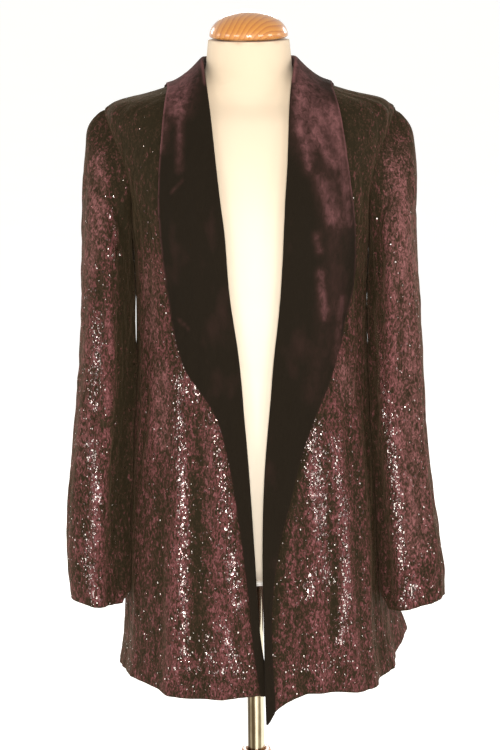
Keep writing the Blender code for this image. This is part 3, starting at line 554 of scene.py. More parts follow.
def tree_of(mesh):
    """The mesh's faces, ready to be searched."""
    return BVHTree.FromPolygons([vertex.co.copy() for vertex in mesh.vertices],
                                [polygon.vertices[:] for polygon in mesh.polygons])


def unit(vectors):
    """Rows scaled to length 1."""
    return vectors / np.linalg.norm(vectors, axis=1, keepdims=True)


def smoothstep(value):
    """0 below 0, 1 above 1, and an even S between."""
    value = np.clip(value, 0.0, 1.0)
    return value * value * (3 - 2 * value)


def body_outward(points):
    """Level and away from the body's axis, turning up over the shoulders."""
    rise = np.maximum(points[:, 2] - SHOULDER_START_Z, 0.0)
    return unit(np.column_stack((points[:, 0] / BODY_HALF_WIDTH ** 2,
                                 points[:, 1] / BODY_DEPTH ** 2,
                                 rise / SHOULDER_RISE ** 2)))


def body_turn(points):
    """Turn round the body in degrees."""
    return np.degrees(np.arctan2(points[:, 0] / BODY_HALF_WIDTH, -points[:, 1] / BODY_DEPTH))


def turn_between(turn, centre):
    """Degrees from one turn to another, the short way round."""
    return (turn - centre + 180) % 360 - 180


def sleeve_axis(points):
    """The middle of the sleeve at each point's height: x, y and the two half widths."""
    z = points[:, 2]
    heights = np.linspace(z.min() + SLEEVE_CUFF_INSET, z.max() - SLEEVE_HEAD_INSET, SLEEVE_SLICES)
    middles = []
    for height in heights:
        near = points[np.abs(z - height) < SLEEVE_SLICE_HALF_HEIGHT]
        low, high = near[:, :2].min(axis=0), near[:, :2].max(axis=0)
        middles.append([*(low + high) / 2, *(high - low) / 2])
    middles = np.array(middles)
    return [np.interp(z, heights, middles[:, k]) for k in range(4)]


def sleeve_outward(places, points):
    """Level and away from the middle of the sleeve that has these points."""
    order = np.argsort(points[:, 2])
    heights = points[order, 2]
    middle_x, middle_y, half_x, half_y = [np.interp(places[:, 2], heights, values[order])
                                          for values in sleeve_axis(points)]
    return unit(np.column_stack(((places[:, 0] - middle_x) / half_x ** 2,
                                 (places[:, 1] - middle_y) / half_y ** 2,
                                 np.zeros(len(places)))))


def crease_height(creases, turn, z, radius):
    """Sum of the creases at each point: soft across, faded at both ends."""
    height = np.zeros(len(z))
    for crease in creases:
        middle = (crease.turn_a + crease.turn_b) / 2
        across = np.radians(turn_between(turn, middle)) * radius
        start = np.array((math.radians(crease.turn_a - middle) * radius, crease.z_a))
        end = np.array((math.radians(crease.turn_b - middle) * radius, crease.z_b))
        way = end - start
        along = ((across - start[0]) * way[0] + (z - start[1]) * way[1]) / way.dot(way)
        share = np.clip(along, -CREASE_OVERRUN, 1 + CREASE_OVERRUN)
        off_across = across - start[0] - share * way[0]
        off_up = z - start[1] - share * way[1]
        away = np.sqrt(off_across ** 2 + off_up ** 2) / crease.width
        ends = smoothstep((share + CREASE_OVERRUN) / CREASE_FADE)
        if crease.z_b > HEM_Z + HEM_REACH:
            ends = ends * smoothstep((1 + CREASE_OVERRUN - share) / CREASE_FADE)
        height += crease.depth * ends * np.exp(-away ** 2)
    return height


def clear_of(points, nodes):
    """0 beside the named nodes and 1 from SEAM_REACH away, so that seams and neighbours stay put."""
    nearest = np.full(len(points), SEAM_REACH)
    for node in nodes:
        tree = tree_of(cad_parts[node].data)
        for k, place in enumerate(points):
            away = tree.find_nearest(Vector(place), SEAM_REACH)[3]
            if away is not None:
                nearest[k] = min(nearest[k], away)
    return smoothstep(nearest / SEAM_REACH)


def wave_height(waves, across, z):
    """Small uneven ripples, mostly running down the cloth."""
    random = np.random.default_rng(waves.seed)
    height = np.zeros(len(z))
    for _ in range(waves.count):
        length = waves.shortest * (waves.longest / waves.shortest) ** random.random()
        slope = waves.lean * (random.random() * 2 - 1)
        phase = random.random()
        height += np.sin(2 * math.pi * ((across + slope * z) / length + phase)) * length
    return height * waves.height / (waves.longest * math.sqrt(waves.count / PLAIN_WAVE_COUNT))


def set_creases(piece, outward, height):
    """Move the piece's points out along their own way."""
    move_points(piece, points_of(piece) + outward * height[:, None])


def all_round(front_strokes, back_strokes, points, in_front):
    """The front's strokes on the front, passing over into the back's strokes behind."""
    return (in_front * stroke_sum(front_strokes, points)
            + (1 - in_front) * stroke_sum(back_strokes, points))


def mark_burnout(piece, folds, forward):
    """Keep what the burnout cloth's look reads: fold crests, painted light and shade, glints and
    edges.
    """
    points = points_of(piece)
    in_front = smoothstep(forward * FRONT_BLEND + 0.5)
    painted_light = all_round(FRONT_PAINTED_LIGHT, BACK_PAINTED_LIGHT, points, in_front)
    glints = all_round(FRONT_GLINTS, BACK_GLINTS, points, in_front)
    keep_value(piece, "crest", np.clip(0.5 + 0.5 * folds / CREST_REACH, 0.0, 1.0))
    keep_value(piece, "painted_light", np.clip(0.5 + 0.5 * painted_light, 0.0, 1.0))
    keep_value(piece, "glint", np.clip(glints, 0.0, 1.0))
    keep_edge(piece, rim_of(piece))


def body_gap(tree, own_tree, middle, turn, side):
    """How far the body is from the sleeve's outer wall, level and outwards from its middle."""
    way = Vector((math.cos(turn) * side, -math.sin(turn), 0.0))
    far = middle + way * SLEEVE_SEARCH
    wall = own_tree.ray_cast(far, -way)[0]
    body = tree.ray_cast(middle, way)[0]
    if wall is None or body is None:
        return SLEEVE_SEARCH
    return (body - middle).length - (wall - middle).length


def settle_share(heights, side):
    """How much of the way to the body a sleeve goes: none at the top, and less at the slit."""
    share = smoothstep((SETTLE_TOP_Z - heights) / SETTLE_TOP_FADE)
    if side == RIGHT:
        share *= 1 - SLIT_SHARE * np.exp(-((heights - SLIT_Z) / SLIT_HALF_HEIGHT) ** 4)
    return share


def neighbours(grid):
    """Each value of a grid and its eight neighbours, the edges repeated outwards."""
    padded = np.pad(grid, 1, mode="edge")
    rows, columns = grid.shape
    return [padded[r:r + rows, c:c + columns] for r in range(3) for c in range(3)]


def least_beside(grid):
    """Each value's least neighbour, then an even spread of them."""
    least = np.min(neighbours(grid), axis=0)
    return np.minimum(np.mean(neighbours(least), axis=0), grid)


def read_grid(grid, rows, columns):
    """Values at places between a grid's own rows and columns, held at its ends."""
    rows = np.clip(rows, 0, grid.shape[0] - SHORT_OF_LAST)
    columns = np.clip(columns, 0, grid.shape[1] - SHORT_OF_LAST)
    row, column = rows.astype(int), columns.astype(int)
    up, on = rows - row, columns - column
    return ((grid[row, column] * (1 - on) + grid[row, column + 1] * on) * (1 - up)
            + (grid[row + 1, column] * (1 - on) + grid[row + 1, column + 1] * on) * up)


def settle_sleeve(piece, body_pieces, side):
    """Lay the inner side of a sleeve softly along the body, GARMENT_CLEARANCE away from it."""
    body_trees = [tree_of(panel.data) for panel in body_pieces]
    own_tree = tree_of(piece.data)
    points = points_of(piece)
    z = points[:, 2]
    middle_x, middle_y, _, _ = sleeve_axis(points)
    turn = np.degrees(np.arctan2(-(points[:, 1] - middle_y), (points[:, 0] - middle_x) * side)) % 360
    heights = np.linspace(z.min() - SETTLE_BELOW_CUFF, SETTLE_TOP_Z, SETTLE_ROWS)
    turns = np.arange(SETTLE_TURNS[0], SETTLE_TURNS[1] + 1, SETTLE_TURN_STEP)
    order = np.argsort(z)
    push = np.zeros((len(heights), len(turns)))
    for row, height in enumerate(heights):
        middle = Vector((np.interp(height, z[order], middle_x[order]),
                         np.interp(height, z[order], middle_y[order]), height))
        gaps = np.array([min(body_gap(tree, own_tree, middle, math.radians(degrees), side)
                             for tree in body_trees) for degrees in turns])
        wanted = np.clip(gaps - GARMENT_CLEARANCE, 0.0, SETTLE_MOST)
        push[row] = wanted * np.exp(-((turns - turns[gaps.argmin()]) / SETTLE_REACH) ** 4)
    push = least_beside(push) * settle_share(heights, side)[:, None]
    push[:, [0, -1]] = 0.0
    moved = read_grid(push, (z - heights[0]) / (heights[1] - heights[0]),
                      (turn - turns[0]) / SETTLE_TURN_STEP)
    points[:, 0] += moved * np.cos(np.radians(turn)) * side
    points[:, 1] -= moved * np.sin(np.radians(turn))
    move_points(piece, points)


def fill_sleeve_head(piece, side):
    """Round the top of the sleeve outwards, as cloth eased into an armhole stands."""
    points = points_of(piece)
    near = np.exp(-((points[:, 2] - HEAD_Z) / HEAD_HEIGHT) ** 2)
    outer = smoothstep((points[:, 0] * side - HEAD_INNER_X) / HEAD_INNER_FADE)
    points[:, 0] += side * HEAD_FULLNESS * near * outer
    move_points(piece, points)


def round_shoulder(piece):
    """Ease the corner where the shoulder seam meets the armhole down to a soft curve."""
    points = points_of(piece)
    near = np.exp(-((np.abs(points[:, 0]) - CORNER_X) / CORNER_WIDTH) ** 2)
    points[:, 2] -= CORNER_DROP * near * smoothstep((points[:, 2] - CORNER_Z) / CORNER_FADE)
    move_points(piece, points)


def stroke_sum(strokes, points):
    """Sum of the strokes at each point, soft across and at both ends."""
    total = np.zeros(len(points))
    for stroke in strokes:
        start = np.array((stroke.x_a, stroke.z_a))
        way = np.array((stroke.x_b, stroke.z_b)) - start
        off = points[:, (0, 2)] - start
        share = np.clip(off @ way / (way @ way), 0.0, 1.0)
        away = np.linalg.norm(off - share[:, None] * way, axis=1) / stroke.width
        total += stroke.strength * np.exp(-away ** 2)
    return total


def keep_value(piece, name, values):
    """Keep a number for each point, which the piece's look reads."""
    kept = piece.data.attributes.new(name, "FLOAT", "POINT")
    kept.data.foreach_set("value", values)


def keep_edge(piece, rim_points):
    """Keep how near each point is to the cloth's own edge: 1 on it, 0 from EDGE_REACH on."""
    tree = KDTree(len(rim_points))
    for k, place in enumerate(rim_points):
        tree.insert(place, k)
    tree.balance()
    away = np.array([tree.find(vertex.co)[2] for vertex in piece.data.vertices])
    keep_value(piece, "edge", np.clip(1 - away / EDGE_REACH, 0.0, 1.0))


def rim_of(piece):
    """The points on the thin rims, where the two walls of the cloth meet."""
    mesh = bmesh.new()
    mesh.from_mesh(piece.data)
    rims = []
    for edge in mesh.edges:
        if len(edge.link_faces) == 2 and edge.calc_face_angle(0.0) > FINE_RIM_ANGLE:
            rims.append(edge.verts[0].co.copy())
            rims.append((edge.verts[0].co + edge.verts[1].co) / 2)
    mesh.free()
    return rims


def outer_rim(piece, side):
    """The collar's rim points on its outer edge, away from the front opening."""
    points = points_of(piece)
    heights = np.linspace(points[:, 2].min(), points[:, 2].max(), COLLAR_SLICES)
    middles = []
    for height in heights:
        near = points[np.abs(points[:, 2] - height) < COLLAR_SLICE_HALF_HEIGHT][:, 0] * side
        middles.append((near.min() + near.max()) / 2)
    return [place for place in rim_of(piece)
            if place.x * side > np.interp(place.z, heights, middles)]


def fold_reach(folds, turn, z, fade):
    """How far the large folds stand out at each point, as a share of their depth."""
    total = np.zeros(len(z))
    for fold in folds:
        away = turn_between(turn, fold.turn) / fold.width
        total += fold.strength * smoothstep((fold.top_z - z) / fade) * np.exp(-away ** 2)
    return total


def paint_walls(piece, outward_at, outside, inside):
    """The right side of the cloth on faces that look out, its wrong side on the others."""
    piece.data.materials.append(outside)
    piece.data.materials.append(inside)
    count = len(piece.data.polygons)
    normals = np.empty(count * 3)
    centres = np.empty(count * 3)
    piece.data.polygons.foreach_get("normal", normals)
    piece.data.polygons.foreach_get("center", centres)
    facing = (normals.reshape(-1, 3) * outward_at(centres.reshape(-1, 3))).sum(axis=1)
    piece.data.polygons.foreach_set("material_index", (facing < WRONG_SIDE_FACING).astype(np.int32))


def node_of(tree, kind, **values):
    """Add a shader node and set its inputs or properties by name."""
    node = tree.nodes.new(kind)
    for name, value in values.items():
        if name in node.inputs:
            node.inputs[name].default_value = value
        else:
            setattr(node, name, value)
    return node


class Look:
    """A material under construction, with short ways to add its nodes."""

    def __init__(self, name):
        self.material = bpy.data.materials.new(name)
        self.material.use_nodes = True
        self.tree = self.material.node_tree
        self.shader = self.tree.nodes["Principled BSDF"]
        self.place = self.tree.nodes.new("ShaderNodeTexCoord").outputs["Object"]

    def link(self, source, target):
        self.tree.links.new(source, target)

    def set(self, **values):
        """Set sockets of the shader, such as Roughness or Sheen_Weight."""
        for name, value in values.items():
            self.shader.inputs[name.replace("_", " ")].default_value = value

    def scaled_place(self, scale, turn=(0, 0, 0), shift=(0, 0, 0)):
        mapping = node_of(self.tree, "ShaderNodeMapping")
        mapping.inputs["Scale"].default_value = scale
        mapping.inputs["Rotation"].default_value = turn
        mapping.inputs["Location"].default_value = shift
        self.link(self.place, mapping.inputs["Vector"])
        return mapping.outputs["Vector"]

    def noise(self, vector, scale, detail=3.0, roughness=0.55, distortion=0.0):
        node = node_of(self.tree, "ShaderNodeTexNoise", Scale=scale, Detail=detail,
                       Roughness=roughness, Distortion=distortion)
        self.link(vector, node.inputs["Vector"])
        return node.outputs["Fac"]

    def upright_noise(self, rise, scale, **values):
        """Noise with its heights scaled, so that a rise below 1 draws it out upwards."""
        return self.noise(self.scaled_place((1.0, 1.0, rise)), scale, **values)

    def cells(self, vector, scale):
        node = node_of(self.tree, "ShaderNodeTexVoronoi", Scale=scale)
        self.link(vector, node.inputs["Vector"])
        return node

    def ramp(self, source, *stops):
        """A colour ramp through (place, colour) stops."""
        node = self.tree.nodes.new("ShaderNodeValToRGB")
        for k, (place, colour) in enumerate(stops):
            stop = node.color_ramp.elements[k] if k < 2 else node.color_ramp.elements.new(place)
            stop.position = place
            stop.color = (*colour, 1.0)
        self.link(source, node.inputs["Fac"])
        return node.outputs["Color"]

    def grade(self, source, low, high, to_low=0.0, to_high=1.0):
        """Stretch a value from one range to another, held at its ends."""
        node = node_of(self.tree, "ShaderNodeMapRange", clamp=True)
        node.inputs["From Min"].default_value = low
        node.inputs["From Max"].default_value = high
        node.inputs["To Min"].default_value = to_low
        node.inputs["To Max"].default_value = to_high
        self.link(source, node.inputs["Value"])
        return node.outputs["Result"]

    def height(self):
        """How far a point stands above the floor."""
        parts = node_of(self.tree, "ShaderNodeSeparateXYZ")
        self.link(self.place, parts.inputs["Vector"])
        return parts.outputs["Z"]

    def combine(self, operation, first, second):
        """Work on two values, each a number or the output of a node."""
        node = node_of(self.tree, "ShaderNodeMath", operation=operation)
        for socket, value in zip(node.inputs, (first, second)):
            if isinstance(value, (int, float)):
                socket.default_value = value
            else:
                self.link(value, socket)
        return node.outputs["Value"]

    def add(self, first, second):
        return self.combine("ADD", first, second)

    def minus(self, first, second):
        return self.combine("SUBTRACT", first, second)

    def times(self, first, second):
        return self.combine("MULTIPLY", first, second)

    def below(self, first, second):
        """1 where the first value is less than the second, and 0 elsewhere."""
        return self.combine("LESS_THAN", first, second)

    def sway(self, source, amount):
        """How far a value is from its middle of 0.5, times an amount."""
        return self.times(self.minus(source, 0.5), amount)

    def mix(self, share, first, second):
        """Mix two colours by a share."""
        node = node_of(self.tree, "ShaderNodeMix", data_type="RGBA")
        factor, a, b = node.inputs["Factor"], node.inputs[6], node.inputs[7]
        for socket, value in ((factor, share), (a, first), (b, second)):
            if isinstance(value, (int, float)):
                socket.default_value = value
            elif isinstance(value, tuple):
                socket.default_value = (*value, 1.0)
            else:
                self.link(value, socket)
        return node.outputs[2]

    def mix_ways(self, share, first, second):
        """Mix two directions by a share."""
        node = node_of(self.tree, "ShaderNodeMix", data_type="VECTOR")
        self.link(share, node.inputs[0])
        self.link(first, node.inputs[4])
        self.link(second, node.inputs[5])
        return node.outputs[1]

    def bump(self, height, distance, strength=1.0, normal=None):
        node = node_of(self.tree, "ShaderNodeBump", Distance=distance, Strength=strength)
        self.link(height, node.inputs["Height"])
        if normal is not None:
            self.link(normal, node.inputs["Normal"])
        return node.outputs["Normal"]

    def tilt(self, normal, random_colour, amount, share, lift=0.0):
        """Tilt the normal by a random amount of its own in each cell, where the share is 1."""
        centred = node_of(self.tree, "ShaderNodeVectorMath", operation="SUBTRACT")
        self.link(random_colour, centred.inputs[0])
        centred.inputs[1].default_value = (0.5, 0.5, 0.5 - lift)
        sized = node_of(self.tree, "ShaderNodeVectorMath", operation="SCALE")
        self.link(centred.outputs["Vector"], sized.inputs[0])
        self.link(self.times(share, amount), sized.inputs["Scale"])
        added = node_of(self.tree, "ShaderNodeVectorMath", operation="ADD")
        self.link(normal, added.inputs[0])
        self.link(sized.outputs["Vector"], added.inputs[1])
        even = node_of(self.tree, "ShaderNodeVectorMath", operation="NORMALIZE")
        self.link(added.outputs["Vector"], even.inputs[0])
        return even.outputs["Vector"]

    def attribute(self, name):
        return node_of(self.tree, "ShaderNodeAttribute", attribute_name=name).outputs["Fac"]

    def finish(self, colour, normal=None):
        self.link(colour, self.shader.inputs["Base Color"])
        if normal is not None:
            self.link(normal, self.shader.inputs["Normal"])
        return self.material


def glitter_burnout():
    """Burgundy pile burnt out in small uprights over near-black ground, with foil flecks."""
    look = Look("glitter_burnout")
    height = look.height()
    painted_light = look.attribute("painted_light")
    crest = look.attribute("crest")
    coarse = look.upright_noise(0.50, 340.0, detail=2.0, roughness=0.6, distortion=1.0)
    fine = look.upright_noise(0.55, 720.0, detail=2.0, roughness=0.6)
    patches = look.upright_noise(0.50, 85.0, detail=3.0, roughness=0.6)
    glint = look.attribute("glint")
    grain = look.add(look.times(coarse, 0.72), look.times(fine, 0.28))
    lit = look.add(grain, look.sway(patches, 0.28))
    # Painted light and shade from the strokes
    lit = look.add(lit, look.sway(painted_light, 0.22))
    # Painted light on fold crests and painted shade in their hollows
    lit = look.add(lit, look.sway(crest, 0.10))
    # Painted highlight: pinker cloth under the glint bands
    lit = look.add(lit, look.times(glint, 0.05))
    # Painted shade: darker towards the shoulders
    lit = look.minus(lit, look.grade(height, 1.12, 1.34, 0.0, 0.080))
    lit = look.minus(lit, 0.016)
    colour = look.ramp(lit, (0.34, NEAR_BLACK), (0.455, GROUND_BROWN), (0.510, DARK_BURGUNDY),
                       (0.575, BURGUNDY), (0.72, PALE_BURGUNDY))
    # Painted sheen: a browner copy of the colour, mixed in where the strokes paint the most light
    painted_sheen = look.ramp(lit, (0.40, (0.0200, 0.0120, 0.0070)), (0.52, (0.0520, 0.0265, 0.0200)),
                        (0.68, (0.1560, 0.0680, 0.0640)))
    colour = look.mix(look.grade(painted_light, 0.54, 0.70, 0.0, 0.60), colour, painted_sheen)
    flecks = look.cells(look.scaled_place((1.0, 1.0, 0.75)), 640.0)
    parts = node_of(look.tree, "ShaderNodeSeparateColor")
    look.link(flecks.outputs["Color"], parts.inputs["Color"])
    clumps = look.upright_noise(0.60, 210.0, detail=3.0, roughness=0.6)
    # Foil flecks, which truly reflect the lamps, crowd into the painted glint bands and thin out up
    # high
    wanted = look.add(look.times(glint, 1.15), 0.040)
    wanted = look.times(wanted, look.grade(clumps, 0.44, 0.58, 0.04, 1.0))
    wanted = look.times(wanted, look.grade(height, 1.10, 1.26, 1.0, 0.08))
    chosen = look.below(parts.outputs["Blue"], wanted)
    reach = look.grade(parts.outputs["Green"], 0.0, 1.0, 0.30, 0.72)
    dot = look.below(flecks.outputs["Distance"], reach)
    fleck = look.times(chosen, dot)
    foil_colour = look.ramp(parts.outputs["Red"], (0.25, DULL_FOIL), (0.55, MID_FOIL),
                            (0.90, BRIGHT_FOIL))
    colour = look.mix(fleck, colour, foil_colour)
    hem = look.grade(look.attribute("edge"), 0.80, 0.95, 0.0, 0.7)
    colour = look.mix(hem, colour, HEM_BROWN)
    raised = look.bump(lit, 0.0012, 0.8)
    wrinkles = look.upright_noise(0.45, 110.0, detail=3.0)
    crinkle = look.bump(wrinkles, 0.0026, 0.7, raised)
    crush = look.bump(look.upright_noise(0.36, 36.0, detail=2.0), 0.0050, 0.7, crinkle)
    foil = look.bump(wrinkles, 0.0014, 0.5)
    foil = look.tilt(foil, flecks.outputs["Color"], 0.32, fleck, lift=0.50)
    normal = look.mix_ways(fleck, crush, foil)
    look.link(fleck, look.shader.inputs["Metallic"])
    look.link(look.grade(fleck, 0.0, 1.0, 0.75, 0.26), look.shader.inputs["Roughness"])
    look.set(Specular_IOR_Level=0.04, Sheen_Weight=0.08, Sheen_Roughness=0.50,
             Sheen_Tint=(0.74, 0.52, 0.30, 1.0))
    return look.finish(colour, normal)


def burnout_wrong_side():
    """The plain knitted back of the cloth, smooth and reddish brown."""
    look = Look("burnout_wrong_side")
    threads = look.upright_noise(0.15, 900.0, detail=2.0)
    cloud = look.noise(look.place, 30.0, detail=2.0)
    share = look.add(look.times(threads, 0.5), look.times(cloud, 0.5))
    colour = look.ramp(share, (0.30, (0.055, 0.026, 0.020)), (0.75, (0.120, 0.055, 0.043)))
    look.set(Roughness=0.75, Sheen_Weight=0.15, Sheen_Roughness=0.5,
             Sheen_Tint=(0.7, 0.5, 0.45, 1.0))
    return look.finish(colour, look.bump(threads, 0.0005, 0.5))


def collar_velvet():
    """Plain silk velvet, near black head-on, with crushed plum patches of painted sheen."""
    look = Look("collar_velvet")
    painted_light = look.attribute("painted_light")
    edge = look.attribute("edge")
    crushed = look.noise(look.scaled_place((1.0, 1.0, 0.62), turn=(0, math.radians(14), 0)), 140.0,
                         detail=6.0, roughness=0.70, distortion=0.5)
    broad = look.upright_noise(0.50, 22.0, detail=3.0)
    hairs = look.upright_noise(0.40, 900.0, detail=2.0)
    mottle = look.add(look.grade(crushed, 0.36, 0.66, 0.42, 1.20), look.sway(broad, 0.8))
    # Painted sheen: the strokes' plum patches, broken up by the crushed mottle
    lit = look.times(painted_light, mottle)
    lit = look.add(lit, look.grade(broad, 0.56, 0.74, 0.0, 0.16))
    # Painted highlight along the collar's outer edge, stronger higher up
    rim = look.grade(edge, 0.72, 0.95, 0.0, 0.50)
    rim = look.times(rim, look.grade(look.height(), 1.00, 1.24, 0.12, 1.0))
    lit = look.add(lit, rim)
    lit = look.add(lit, look.sway(hairs, 0.10))
    colour = look.ramp(lit, (0.02, VELVET_BLACK), (0.24, VELVET_BROWN), (0.58, PLUM),
                       (1.00, PALE_PLUM))
    pile_bump = look.bump(hairs, 0.0004, 0.5)
    look.set(Roughness=0.9, Specular_IOR_Level=0.08, Sheen_Weight=0.03, Sheen_Roughness=0.4,
             Sheen_Tint=(0.60, 0.44, 0.34, 1.0))
    return look.finish(colour, look.bump(crushed, 0.003, 0.35, pile_bump))


def cream_jersey():
    """Fine cream knit stretched over the padded form."""
    look = Look("cream_jersey")
    knit = look.upright_noise(0.6, 1400.0, detail=1.0)
    cloud = look.noise(look.place, 9.0, detail=2.0)
    # Painted light: much lighter low down, where the garment shades the form, than at the neck
    top = look.ramp(cloud, (0.30, (0.507, 0.406, 0.290)), (0.70, (0.535, 0.430, 0.312)))
    low = look.ramp(cloud, (0.30, (0.81, 0.710, 0.575)), (0.70, (0.85, 0.750, 0.610)))
    colour = look.mix(look.grade(look.height(), 0.85, 1.36), low, top)
    look.set(Roughness=0.9, Specular_IOR_Level=0.2, Sheen_Weight=0.08, Sheen_Roughness=0.6)
    return look.finish(colour, look.bump(knit, 0.0003, 0.35))


def white_board():
    """Painted board with a faint grain and scuffs."""
    look = Look("white_board")
    cloud = look.upright_noise(4.0, 60.0, detail=4.0)
    colour = look.ramp(cloud, (0.30, (0.84, 0.81, 0.75)), (0.65, (0.93, 0.91, 0.87)))
    look.set(Roughness=0.55)
    return look.finish(colour, look.bump(cloud, 0.0003, 0.3))


def pine(name, ring_centre, grain_way, spacing):
    """Lacquered pine: growth rings round a grain along Y or Z, with fine fibres."""
    look = Look(name)
    centred = look.scaled_place((1, 1, 1), shift=tuple(-c for c in ring_centre))
    parts = node_of(look.tree, "ShaderNodeSeparateXYZ")
    look.link(centred, parts.inputs["Vector"])
    flat = node_of(look.tree, "ShaderNodeCombineXYZ")
    look.link(parts.outputs["X"], flat.inputs["X"])
    look.link(parts.outputs["Z" if grain_way == "Y" else "Y"], flat.inputs["Y"])
    length = node_of(look.tree, "ShaderNodeVectorMath", operation="LENGTH")
    look.link(flat.outputs["Vector"], length.inputs[0])
    drift = look.noise(centred, 14.0, detail=2.0)
    radius = look.add(length.outputs["Value"], look.times(drift, 0.010))
    rings = look.combine("FRACT", look.combine("DIVIDE", radius, spacing), 0.0)
    stretched = look.scaled_place((1, 0.06, 1) if grain_way == "Y" else (1, 1, 0.06))
    fibre = look.noise(stretched, 700.0, detail=2.0)
    share = look.add(rings, look.sway(fibre, 0.35))
    colour = look.ramp(share, (0.05, (0.43, 0.175, 0.022)), (0.60, (0.38, 0.140, 0.014)),
                       (0.88, (0.29, 0.088, 0.008)), (0.98, (0.40, 0.155, 0.018)))
    look.set(Roughness=0.40, Coat_Weight=0.7, Coat_Roughness=0.06)
    return look.finish(colour, look.bump(fibre, 0.0002, 0.25))


def chrome():
    """Polished tube in long upright bands of painted reflection, with faint drawn lines and smears."""
    look = Look("chrome")
    smears = look.upright_noise(0.3, 70.0, detail=4.0)
    reflection_streaks = look.upright_noise(0.004, 150.0, detail=2.0)
    lines = look.upright_noise(0.02, 2500.0, detail=1.0)
    # Painted reflection: near black to pale gold bands up and down the tube
    share = look.add(look.times(reflection_streaks, 0.8), look.times(smears, 0.2))
    colour = look.ramp(share, (0.40, (0.060, 0.042, 0.022)), (0.48, (0.190, 0.150, 0.090)),
                       (0.53, (0.300, 0.250, 0.160)), (0.60, (0.620, 0.560, 0.420)))
    look.set(Metallic=1.0)
    look.link(look.grade(smears, 0.35, 0.7, 0.10, 0.22), look.shader.inputs["Roughness"])
    return look.finish(colour, look.bump(lines, 0.0001, 0.2))


def dress_panels(cloth, wrong_side):
    """The two fronts and the two backs."""
    cuts = {"front": ((0.275, 0.86), 0.185), "back": ((0.235, 0.84), 0.168)}
    panels = []
    for part, (flat, area) in cuts.items():
        for side, word in ((LEFT, "left"), (RIGHT, "right")):
            piece = refined_copy(f"{part}_{word}", f"{word}_{part}", FINE_LEVELS)
            points = points_of(piece)
            turn = body_turn(points)
            z = points[:, 2]
            creases = crease_height(BODY_CREASES, turn, z, BODY_RADIUS)
            ripples = wave_height(PANEL_WAVES, np.radians(turn) * BODY_RADIUS, z)
            calm = smoothstep((PANEL_CALM_Z - z) / PANEL_CALM_FADE)
            calm *= clear_of(points, [f"sleeve_{word}"])
            set_creases(piece, body_outward(points), (creases + ripples) * calm)
            round_shoulder(piece)
            folds = BODY_FOLD_DEPTH * fold_reach(BODY_FOLDS, turn, z, BODY_FOLD_FADE)
            folds += creases + RIPPLE_WEIGHT * ripples
            mark_burnout(piece, folds, -points[:, 1] / BODY_DEPTH)
            paint_walls(piece, body_outward, cloth, wrong_side)
            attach(piece, "root")
            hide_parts(f"{part}_{word}")
            panels.append(piece)
    return panels


def dress_sleeves(cloth, wrong_side, panels):
    """The two sleeves, which lie against the body panels."""
    for side, word in ((LEFT, "left"), (RIGHT, "right")):
        piece = refined_copy(f"sleeve_{word}", f"{word}_sleeve", FINE_LEVELS)
        points = points_of(piece)
        outward_at = partial(sleeve_outward, points=points)
        middle_x, middle_y, half_x, half_y = sleeve_axis(points)
        turn = np.degrees(np.arctan2(-(points[:, 1] - middle_y) / half_y,
                                     (points[:, 0] - middle_x) * side / half_x)) % 360
        z = points[:, 2]
        creases = crease_height(SLEEVE_CREASES[side], turn, z, SLEEVE_RADIUS)
        ripples = wave_height(SLEEVE_WAVES, points[:, 0] + points[:, 1], z)
        calm = smoothstep((SLEEVE_CALM_Z - z) / SLEEVE_CALM_FADE)
        calm *= clear_of(points, [f"front_{word}", f"back_{word}"])
        set_creases(piece, outward_at(points), (creases + ripples) * calm)
        fill_sleeve_head(piece, side)
        round_shoulder(piece)
        settle_sleeve(piece, panels, side)
        folds = SLEEVE_FOLD_DEPTH * fold_reach(SLEEVE_FOLDS[side], turn, z, SLEEVE_FOLD_FADE)
        folds += creases + RIPPLE_WEIGHT * ripples
        mark_burnout(piece, folds, -outward_at(points)[:, 1])
        paint_walls(piece, outward_at, cloth, wrong_side)
        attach(piece, "root")
        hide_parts(f"sleeve_{word}")


def tuck_collar(piece, side):
    """Draw the collar's outer edge in along the slope of the shoulder, just behind its ridge."""
    points = points_of(piece)
    over = np.maximum(points[:, 0] * side - TUCK_X, 0.0)
    behind = smoothstep((points[:, 1] - TUCK_FRONT_Y) / TUCK_FRONT_FADE)
    behind *= 1 - smoothstep((points[:, 1] - TUCK_BACK_Y) / TUCK_BACK_FADE)
    moved = TUCK_SHARE * over * behind * smoothstep((points[:, 2] - TUCK_Z) / TUCK_Z_FADE)
    points[:, 0] -= side * moved
    points[:, 2] += SHOULDER_SLOPE * moved
    move_points(piece, points)


def dress_collar(velvet, wrong_side):
    """The two halves of the shawl collar."""
    for side, word in ((LEFT, "left"), (RIGHT, "right")):
        piece = refined_copy(f"shawl_{word}", f"{word}_shawl", FINE_LEVELS)
        points = points_of(piece)
        turn = body_turn(points)
        z = points[:, 2]
        under = crease_height(BODY_CREASES, turn, z, BODY_RADIUS)
        under += wave_height(PANEL_WAVES, np.radians(turn) * BODY_RADIUS, z)
        own = crease_height(SHAWL_CREASES, turn, z, BODY_RADIUS)
        own += wave_height(SHAWL_WAVES, points[:, 0], z)
        calm = smoothstep((SHAWL_CALM_Z - z) / SHAWL_CALM_FADE)
        rolls = crease_height(ROLL_CREASES, turn, z, BODY_RADIUS)
        set_creases(piece, body_outward(points), (under + np.abs(own)) * calm + rolls)
        tuck_collar(piece, side)
        # Painted sheen patches for the velvet's look
        keep_value(piece, "painted_light", np.clip(stroke_sum(SHAWL_PAINTED_SHEEN, points), 0.0, 1.0))
        keep_edge(piece, outer_rim(piece, side))
        paint_walls(piece, body_outward, velvet, wrong_side)
        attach(piece, "root")
        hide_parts(f"shawl_{word}")


